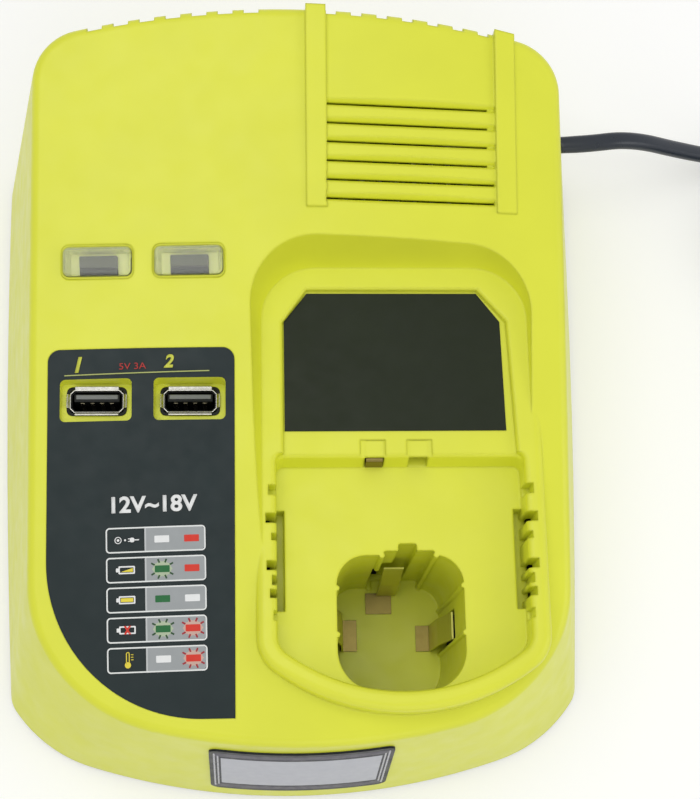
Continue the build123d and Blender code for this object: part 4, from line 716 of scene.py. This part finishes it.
def heat_sign(row):
    """A thermometer with three lines of its scale."""
    middle = (ICON_X, 0.45)
    row.disc("yellow", 0.75, ICON_X, -1.15, steps=24)
    row.band("yellow", outline_rectangle(0.9, 3.0, 0.45, middle),
             outline_rectangle(0.46, 2.56, 0.23, middle))
    for k in range(3):
        row.box("yellow", 0.6, 0.18, 0.04, ICON_X + 1.05, 0.1 + 0.6 * k)


CAPITALS = 0.7              # a capital's height, as a share of the font's size


def lettering(words, size, ink_name, corner, weight, lean=0.0, width=None):
    """Plain figures whose lower left corner is at a place on the label."""
    curve = bpy.data.curves.new("figures", "FONT")
    curve.body = words
    curve.size = size / CAPITALS
    curve.shear = lean
    curve.offset = weight * size
    curve.fill_mode = "FRONT"
    host = link("figures", curve)
    mesh = evaluated_mesh(host)
    bpy.data.objects.remove(host)
    low = min(v.co.x for v in mesh.vertices)
    high = max(v.co.x for v in mesh.vertices)
    stretch = width / (high - low) if width else 1.0
    SHEETS[ink_name].mesh(mesh, lambda u, v: on_label(corner[0] + (u - low) * stretch, corner[1] + v))


ROWS = [Row(number) for number in range(len(LAMP_STATES))]
for chart_row, lamp_states in zip(ROWS, LAMP_STATES):
    status_row(chart_row, lamp_states)
plug_sign(ROWS[0])
battery_sign(ROWS[1], "rising")
battery_sign(ROWS[2], "full")
battery_sign(ROWS[3], "crossed")
heat_sign(ROWS[4])

lettering("12V~18V", 3.7, "white", (-10.6, 6.7), 0.045, width=20.9)
lettering("5V 3A", 1.55, "dull_red", (-8.3, 41.3), 0.0, width=6.6)
lettering("1", 3.6, "lime", (-19.2, 41.1), 0.05, lean=0.25)
lettering("2", 3.0, "lime", (2.6, 41.5), 0.05, lean=0.25)
UNDERLINE = outline_rectangle(35.6, 0.26, 0.1, (-4.0, 40.35), steps=1)
SHEETS["pale_lime"].area([on_label(*p) for p in UNDERLINE])

FIRST_INK = 0.02            # how high the three layers of ink stand
NEXT_INK = 0.03
TOP_INK = 0.045
UNDER_INKS = {"grey": FIRST_INK, "frame": FIRST_INK, "green_halo": NEXT_INK, "red_halo": NEXT_INK,
              "pale_grey": NEXT_INK}
for printed, sheet in SHEETS.items():
    if sheet.shape.verts:
        sheet.lay("print_" + printed, INKS[printed], label_surface, UNDER_INKS.get(printed, TOP_INK))


# ---------------------------------------------------------------------------------------------
# Sockets
# ---------------------------------------------------------------------------------------------
SOCKETS = {"left": -50.4, "right": -27.4}
SOCKET_Y = -3.8
SOCKET_BOARD = 47.5         # the shells stand on the board at this height
SHELL = (13.1, 5.7)
SHELL_CUT = 0.95            # cut corners
SHELL_RIM = 60.85
SHEET = 0.3
SHEET_EDGE = 0.16           # the folded sheet's rim is thinned to this
TAB_TOP = 61.5
TAB_FLARE = 0.85
TABS = ((10.7, 0, 1), (10.7, 0, -1), (3.5, 1, 0), (3.5, -1, 0))     # length, and the way each flares
TAB_PROFILE = ((-SHEET_EDGE, SHELL_RIM - 0.1), (0.0, SHELL_RIM - 0.25), (TAB_FLARE, TAB_TOP - 0.3),
               (TAB_FLARE, TAB_TOP - 0.1), (TAB_FLARE - 0.2, TAB_TOP - 0.05))
SURROUND = (14.8, 7.4)
SURROUND_FOOT = 60.5        # the floor of the pocket round a shell
SURROUND_TOP = 60.64
SURROUND_ROOM = 0.1
LINING = 0.15
LINING_ROOM = 0.04
LINING_FOOT = SOCKET_BOARD + 3
LINING_TOP = SHELL_RIM - 0.42
TIP = (10.3, 1.15)          # the tongue's paler end
TIP_Y = 1.15
TIP_LEVELS = (60.5, 60.56, 60.62)
TIP_FINISH = plastic("grey tongue end", (0.17, 0.18, 0.18), 0.35, mottle=0.06)


def cut_rectangle(width, height, cut):
    """Corner points of a rectangle with cut corners, counter-clockwise."""
    w, h = width / 2, height / 2
    return [(w, -h + cut), (w, h - cut), (w - cut, h), (-w + cut, h),
            (-w, h - cut), (-w, -h + cut), (-w + cut, -h), (w - cut, -h)]


def at_socket(points, x):
    """An outline moved to a socket's middle."""
    return [(x + a, SOCKET_Y + b) for a, b in points]


def stacked(shape, rings, capped=True):
    """Joins outlines, given as points and height, in turn; the ends are capped, or joined to each other."""
    made = [[shape.verts.new((x, y, z)) for x, y in points] for points, z in rings]
    for first, second in zip(made, made[1:] if capped else made[1:] + made[:1]):
        for k in range(len(first)):
            shape.faces.new((first[k - 1], first[k], second[k], second[k - 1]))
    if capped:
        shape.faces.new(made[0])
        shape.faces.new(made[-1])


def socket_shell(side, x):
    """Folded sheet-metal shell of a socket, with four tabs that flare out at its mouth."""
    shape = bmesh.new()
    outer = at_socket(cut_rectangle(*SHELL, SHELL_CUT), x)
    rim = at_socket(cut_rectangle(*smaller(SHELL, 2 * SHEET_EDGE), SHELL_CUT - 0.07), x)
    inner = at_socket(cut_rectangle(*smaller(SHELL, 2 * SHEET), SHELL_CUT - 0.12), x)
    stacked(shape, [(outer, SOCKET_BOARD), (outer, SHELL_RIM), (rim, SHELL_RIM), (inner, SHELL_RIM - 0.4),
                    (inner, SOCKET_BOARD + SHEET)])
    for length, ax, ay in TABS:
        start = SHELL[0] / 2 if ax else SHELL[1] / 2
        ends = []
        for end in (-length / 2, length / 2):
            points = at_socket([(ax * (start + out) + ay * end, ay * (start + out) + ax * end)
                                for out, _ in TAB_PROFILE], x)
            ends.append([shape.verts.new((*point, z)) for point, (_, z) in zip(points, TAB_PROFILE)])
        for k in range(len(TAB_PROFILE)):
            shape.faces.new((ends[0][k - 1], ends[0][k], ends[1][k], ends[1][k - 1]))
        shape.faces.new(ends[0])
        shape.faces.new(ends[1])
    bmesh.ops.recalc_face_normals(shape, faces=shape.faces)
    piece = piece_of(side + "_socket_shell", shape, FINISHES["socket_steel"])
    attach(piece, "charger")
    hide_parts(side + "_usb_shell")


def socket_lining(side, x):
    """Black surround on the pocket's floor and lining inside the shell."""
    shape = bmesh.new()
    around = at_socket(outline_rectangle(*SURROUND, 1.5), x)
    within = at_socket(outline_rectangle(*smaller(SHELL, -SURROUND_ROOM), 0.75), x)
    stacked(shape, [(around, SURROUND_FOOT), (around, SURROUND_TOP), (within, SURROUND_TOP),
                    (within, SURROUND_FOOT)], capped=False)
    size = smaller(SHELL, 2 * SHEET + LINING_ROOM)
    sleeve = at_socket(cut_rectangle(*size, SHELL_CUT - 0.12), x)
    hollow = at_socket(cut_rectangle(*smaller(size, 2 * LINING), SHELL_CUT - 0.16), x)
    stacked(shape, [(sleeve, LINING_FOOT), (sleeve, LINING_TOP), (hollow, LINING_TOP),
                    (hollow, LINING_FOOT)], capped=False)
    bmesh.ops.recalc_face_normals(shape, faces=shape.faces)
    piece = piece_of(side + "_socket_lining", shape, FINISHES["socket_black"])
    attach(piece, "charger")


def tongue_tip(side, x):
    """Paler end of a socket's tongue."""
    shape = bmesh.new()
    wide = at_socket(outline_rectangle(*TIP, 0.15, (0, TIP_Y), steps=2), x)
    narrow = at_socket(outline_rectangle(*smaller(TIP, 0.15), 0.1, (0, TIP_Y), steps=2), x)
    stacked(shape, zip((wide, wide, narrow), TIP_LEVELS))
    bmesh.ops.recalc_face_normals(shape, faces=shape.faces)
    piece = piece_of(side + "_tongue_tip", shape, TIP_FINISH)
    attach(piece, "charger")


for socket_side, socket_x in SOCKETS.items():
    socket_shell(socket_side, socket_x)
    socket_lining(socket_side, socket_x)
    tongue_tip(socket_side, socket_x)


# ---------------------------------------------------------------------------------------------
# Lamps under their windows
# ---------------------------------------------------------------------------------------------
LAMPS = {"left": -11.3, "right": 11.3}      # along the top, from midway between them
LAMPS_X = -38.9
LAMPS_Y = 29.5
# the heights below are given from the top face
WINDOW = (17.0, 7.3)
WINDOW_CORNER = 1.5
WINDOW_RISE = 0.9
WINDOW_UNDER = -0.4
WINDOW_ROUND = 0.7
ROUND_STEPS = 5
WALL_INSET = 1.0            # the wall under the window, both sides together
WALL_TOP = WINDOW_UNDER - 0.02
FLANGE = (19.4, 10.2)
FLANGE_LEVELS = (-3.25, -4.55)
SURROUND_RING = ((17.76, 8.56, 1.88), (17.15, 7.45, 1.55))
SURROUND_LEVELS = (-1.2, -0.06)
TRAY = (15.9, 6.2)
TRAY_FLOOR = (-4.42, -4.1)  # under and over it
TRAY_RIM = -0.75
TRAY_WALL = 1.0             # how far the upright part of the wall reaches below the rim
BLOCK = (9.4, 2.9, 0.27)    # length, width, and how far it stands back from the middle
BLOCK_TOP = -1.9
STEP = (9.4, 1.35, -1.87)
STEP_TOP = -2.6
GUIDE_EDGE = 0.15           # the slope round the top of the block and the step


def lamp_frame(along):
    """Axes and origin at a lamp window's middle, in the plane of the top there."""
    right = Vector((1, 0, -(LAMPS_X - CROWN_X) / CROWN_RADIUS)).normalized()
    up = right.cross(Vector((0, math.cos(TOP_SLOPE), math.sin(TOP_SLOPE)))).normalized()
    back = up.cross(right)
    origin = Vector((LAMPS_X, LAMPS_Y, top_height(LAMPS_X, LAMPS_Y))) + right * along
    return Matrix((right, back, up)).transposed().to_4x4(), origin


def in_lamp(name, along, rings, material, capped=True):
    """A piece made in a lamp window's own axes."""
    shape = bmesh.new()
    stacked(shape, rings, capped)
    turn, origin = lamp_frame(along)
    bmesh.ops.transform(shape, matrix=turn, verts=shape.verts)
    bmesh.ops.translate(shape, vec=origin, verts=shape.verts)
    bmesh.ops.recalc_face_normals(shape, faces=shape.faces)
    piece = piece_of(name, shape, material)
    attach(piece, "charger")
    return piece


def window_rings():
    """Outlines of the clear window, with a rounded upper edge."""
    rings = [(outline_rectangle(*WINDOW, WINDOW_CORNER), WINDOW_UNDER)]
    for step in range(ROUND_STEPS + 1):
        angle = math.radians(90 * step / ROUND_STEPS)
        inset = 2 * WINDOW_ROUND * (1 - math.cos(angle))
        rings.append((outline_rectangle(*smaller(WINDOW, inset), WINDOW_CORNER - inset / 2),
                      WINDOW_RISE - WINDOW_ROUND * (1 - math.sin(angle))))
    return rings


def wall_rings():
    """Outlines of the window's wall, made opaque and pale as a painted glint along the window's edge, and
    its flange under the housing.
    """
    outer = outline_rectangle(*WINDOW, WINDOW_CORNER)
    inner = outline_rectangle(*smaller(WINDOW, WALL_INSET), WINDOW_CORNER - WALL_INSET / 2)
    flange = outline_rectangle(*FLANGE, 2.6)
    top, bottom = FLANGE_LEVELS
    return [(outer, WALL_TOP), (outer, top), (flange, top), (flange, bottom), (inner, bottom),
            (inner, WALL_TOP)]


def surround_rings():
    """Outlines of the narrow housing edge round a window."""
    outer, inner = (outline_rectangle(*ring) for ring in SURROUND_RING)
    foot, top = SURROUND_LEVELS
    return [(outer, foot), (outer, top), (inner, top), (inner, foot)]


def tray_rings():
    """Outlines of the reflector tray, from its foot over the rim to its floor."""
    foot = outline_rectangle(TRAY[0] - 1.2, TRAY[1] - 0.6, 0.6)
    outer = outline_rectangle(*TRAY, 0.6)
    inner = outline_rectangle(*smaller(TRAY, 0.3), 0.45)
    floor = outline_rectangle(TRAY[0] - 1.7, TRAY[1] - 0.9, 0.4)
    under, over = TRAY_FLOOR
    return [(foot, under), (outer, TRAY_RIM - TRAY_WALL), (outer, TRAY_RIM), (inner, TRAY_RIM),
            (floor, over)]


def guide_rings(length, width, setback, top):
    """Outlines of a block on the tray's floor, a little narrower at its top."""
    outer = outline_rectangle(length, width, 0.2, (0, setback), steps=2)
    upper = outline_rectangle(*smaller((length, width), 2 * GUIDE_EDGE), 0.1, (0, setback), steps=2)
    return [(outer, TRAY_FLOOR[1]), (outer, top - GUIDE_EDGE), (upper, top)]


# the window's wall is made opaque and pale: a painted glint along the window's edge
WALL_GLINT_FINISH = plastic("frosted window wall", (0.84, 0.9, 0.4), 0.3, mottle=0.04)
TRAY_FINISH = plastic("pale lime reflector", (0.92, 0.96, 0.32), 0.25, mottle=0.05)
BLOCK_FINISH = plastic("smoked light guide", (0.095, 0.105, 0.06), 0.4, mottle=0.06, edge=0.08,
                       specular=0.15)
# the step is the light guide's front face, given a darker copy of the light guide's colour and no gloss:
# painted shade on that face
STEP_SHADE_FINISH = plastic("light guide step in painted shade", (0.012, 0.02, 0.004), 0.7, mottle=0.06, edge=0.08,
                      specular=0.0)
for lamp_side, lamp_along in LAMPS.items():
    window = in_lamp(lamp_side + "_window", lamp_along, window_rings(), FINISHES["lens_clear"])
    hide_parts(lamp_side + "_led_lens")
    in_lamp(lamp_side + "_window_wall", lamp_along, wall_rings(), WALL_GLINT_FINISH, capped=False)
    in_lamp(lamp_side + "_window_surround", lamp_along, surround_rings(), FINISHES["housing_green"],
            capped=False)
    in_lamp(lamp_side + "_lamp_tray", lamp_along, tray_rings(), TRAY_FINISH)
    in_lamp(lamp_side + "_lamp_block", lamp_along, guide_rings(*BLOCK, BLOCK_TOP), BLOCK_FINISH)
    in_lamp(lamp_side + "_lamp_step", lamp_along, guide_rings(*STEP, STEP_TOP), STEP_SHADE_FINISH)


# ---------------------------------------------------------------------------------------------
# Front badge
# ---------------------------------------------------------------------------------------------
BADGE_MIDDLE = 27.75
BADGE_AHEAD = -140.0        # well in front of its face
BADGE_SPACING = 1.0
BADGE_BAND = (44.2, 32.4, 1.9)
BADGE_GROUND = (43.2, 26.6, 0.8)
BADGE_PANEL = (40.2, 24.0, 0.3)
BADGE_LINE = 0.42
BADGE_LINES = ((21.75, 31.0), (20.85, 27.6))    # distance from the middle, and height


def surface_of(name):
    """A node's faces, to find points on."""
    shape = bmesh.new()
    shape.from_mesh(frame["nodes"][name].data)
    tree = BVHTree.FromBMesh(shape)
    shape.free()
    return tree


BADGE_FACES = surface_of("front_badge")


def badge_surface(x, z):
    """Point and outward direction on the badge's face, for a place given from its middle."""
    start = Vector((x, BADGE_AHEAD, BADGE_MIDDLE + z)) * MM
    point, normal, _, _ = BADGE_FACES.ray_cast(start, Vector((0, 1, 0)))
    if point is None:
        point, normal, _, _ = BADGE_FACES.find_nearest(start)
    if normal.y > 0:
        normal = -normal
    return point / MM, normal


def badge_areas(name, material, outlines, lift):
    """Areas of one ink on the badge."""
    sheet = Print()
    for outline in outlines:
        sheet.area(outline)
    sheet.lay(name, material, badge_surface, lift, BADGE_SPACING)


badge_areas("badge_band", ink("violet-grey badge band", (0.085, 0.08, 0.105), 0.4, specular=0.25),
            [outline_rectangle(*BADGE_BAND)], FIRST_INK)
badge_areas("badge_ground", ink("navy badge ground", (0.01, 0.011, 0.024), 0.4, specular=0.25),
            [outline_rectangle(*BADGE_GROUND)], NEXT_INK)
badge_areas("badge_panel", ink("silver badge panel", (0.5, 0.51, 0.56), 0.4, relief=0.0),
            [outline_rectangle(*BADGE_PANEL)], TOP_INK)
badge_areas("badge_lines", ink("silver badge line", (0.42, 0.42, 0.46), 0.26),
            [outline_rectangle(BADGE_LINE, tall, 0.15, (end * place, 0), steps=1)
             for place, tall in BADGE_LINES for end in (-1, 1)], TOP_INK)


# ---------------------------------------------------------------------------------------------
# Floor and light
# ---------------------------------------------------------------------------------------------
# the lengths below are in metres
FLOOR_HALF = 3.0
FLOOR_GREY = 0.8
FLOOR_ROUGHNESS = 0.9
FLOOR_SPECULAR = 0.1
# from the first distance to the second, the light that is added grows from the first share to the second
FLOOR_GLOW = {"From Min": 0.4, "From Max": 1.3, "To Min": 0.27, "To Max": 0.5}
FILL = 0.62                 # strength of the light from all round
SOFTBOX_AIM = (0, 0, 0.04)
# name, place, side and watts
SOFTBOXES = (("key softbox", (-0.25, 0.1, 1.2), 0.8, 3.4), ("right softbox", (0.9, -0.2, 0.55), 0.5, 1.3),
             ("front softbox", (0.1, -1.0, 0.7), 0.6, 1.2))


def ray_share(tree, *kinds):
    """1 for light rays of these kinds and 0 for the others."""
    rays = wired(tree, "ShaderNodeLightPath").outputs
    share = rays[kinds[0]]
    for kind in kinds[1:]:
        either = wired(tree, "ShaderNodeMath", {0: share, 1: rays[kind]}, operation="MAXIMUM")
        share = either.outputs["Value"]
    return share


def white_floor():
    """White floor that looks a little brighter with distance, directly and in reflections."""
    corners = [(x * FLOOR_HALF, y * FLOOR_HALF, 0) for x, y in ((-1, -1), (1, -1), (1, 1), (-1, 1))]
    mesh = bpy.data.meshes.new("floor")
    mesh.from_pydata(corners, [], [(0, 1, 2, 3)])
    material = bpy.data.materials.new("white floor")
    material.use_nodes = True
    tree = material.node_tree
    shader = tree.nodes["Principled BSDF"]
    shader.inputs["Base Color"].default_value = (FLOOR_GREY, FLOOR_GREY, FLOOR_GREY, 1)
    shader.inputs["Roughness"].default_value = FLOOR_ROUGHNESS
    shader.inputs["Specular IOR Level"].default_value = FLOOR_SPECULAR
    place = wired(tree, "ShaderNodeTexCoord")
    distance = wired(tree, "ShaderNodeVectorMath", {0: place.outputs["Object"]}, operation="LENGTH")
    fade = wired(tree, "ShaderNodeMapRange", {"Value": distance.outputs["Value"]})
    for key, value in FLOOR_GLOW.items():
        fade.inputs[key].default_value = value
    share = wired(tree, "ShaderNodeMath", {0: ray_share(tree, "Is Camera Ray", "Is Glossy Ray"),
                                           1: fade.outputs["Result"]}, operation="MULTIPLY")
    glow = wired(tree, "ShaderNodeEmission", {"Strength": share.outputs["Value"]})
    both = wired(tree, "ShaderNodeAddShader", {0: shader.outputs["BSDF"], 1: glow.outputs["Emission"]})
    tree.links.new(both.outputs["Shader"], tree.nodes["Material Output"].inputs["Surface"])
    floor = link("floor", mesh, material)


def studio_world():
    """Even fill from all round; seen directly, in a reflection or through a window it is plain white."""
    world = bpy.data.worlds.new("studio")
    bpy.context.scene.world = world
    world.use_nodes = True
    tree = world.node_tree
    fill = tree.nodes["Background"]
    fill.inputs["Color"].default_value = (1.0, 1.0, 1.0, 1)
    fill.inputs["Strength"].default_value = FILL
    white = wired(tree, "ShaderNodeBackground")
    white.inputs["Strength"].default_value = 1.0
    mix = wired(tree, "ShaderNodeMixShader", {
        "Fac": ray_share(tree, "Is Camera Ray", "Is Glossy Ray", "Is Transmission Ray"),
        1: fill.outputs["Background"], 2: white.outputs["Background"]})
    tree.links.new(mix.outputs["Shader"], tree.nodes["World Output"].inputs["Surface"])


def softbox(name, place, side, watts):
    """A square area light that points at the charger."""
    light = bpy.data.lights.new(name, "AREA")
    light.size = side
    light.energy = watts
    lamp = link(name, light)
    aim = Vector(SOFTBOX_AIM) - Vector(place)
    lamp.matrix_world = Matrix.LocRotScale(Vector(place), aim.to_track_quat("-Z", "Y"), None)


white_floor()
studio_world()
for softbox_values in SOFTBOXES:
    softbox(*softbox_values)
bpy.context.scene.view_settings.view_transform = "Standard"
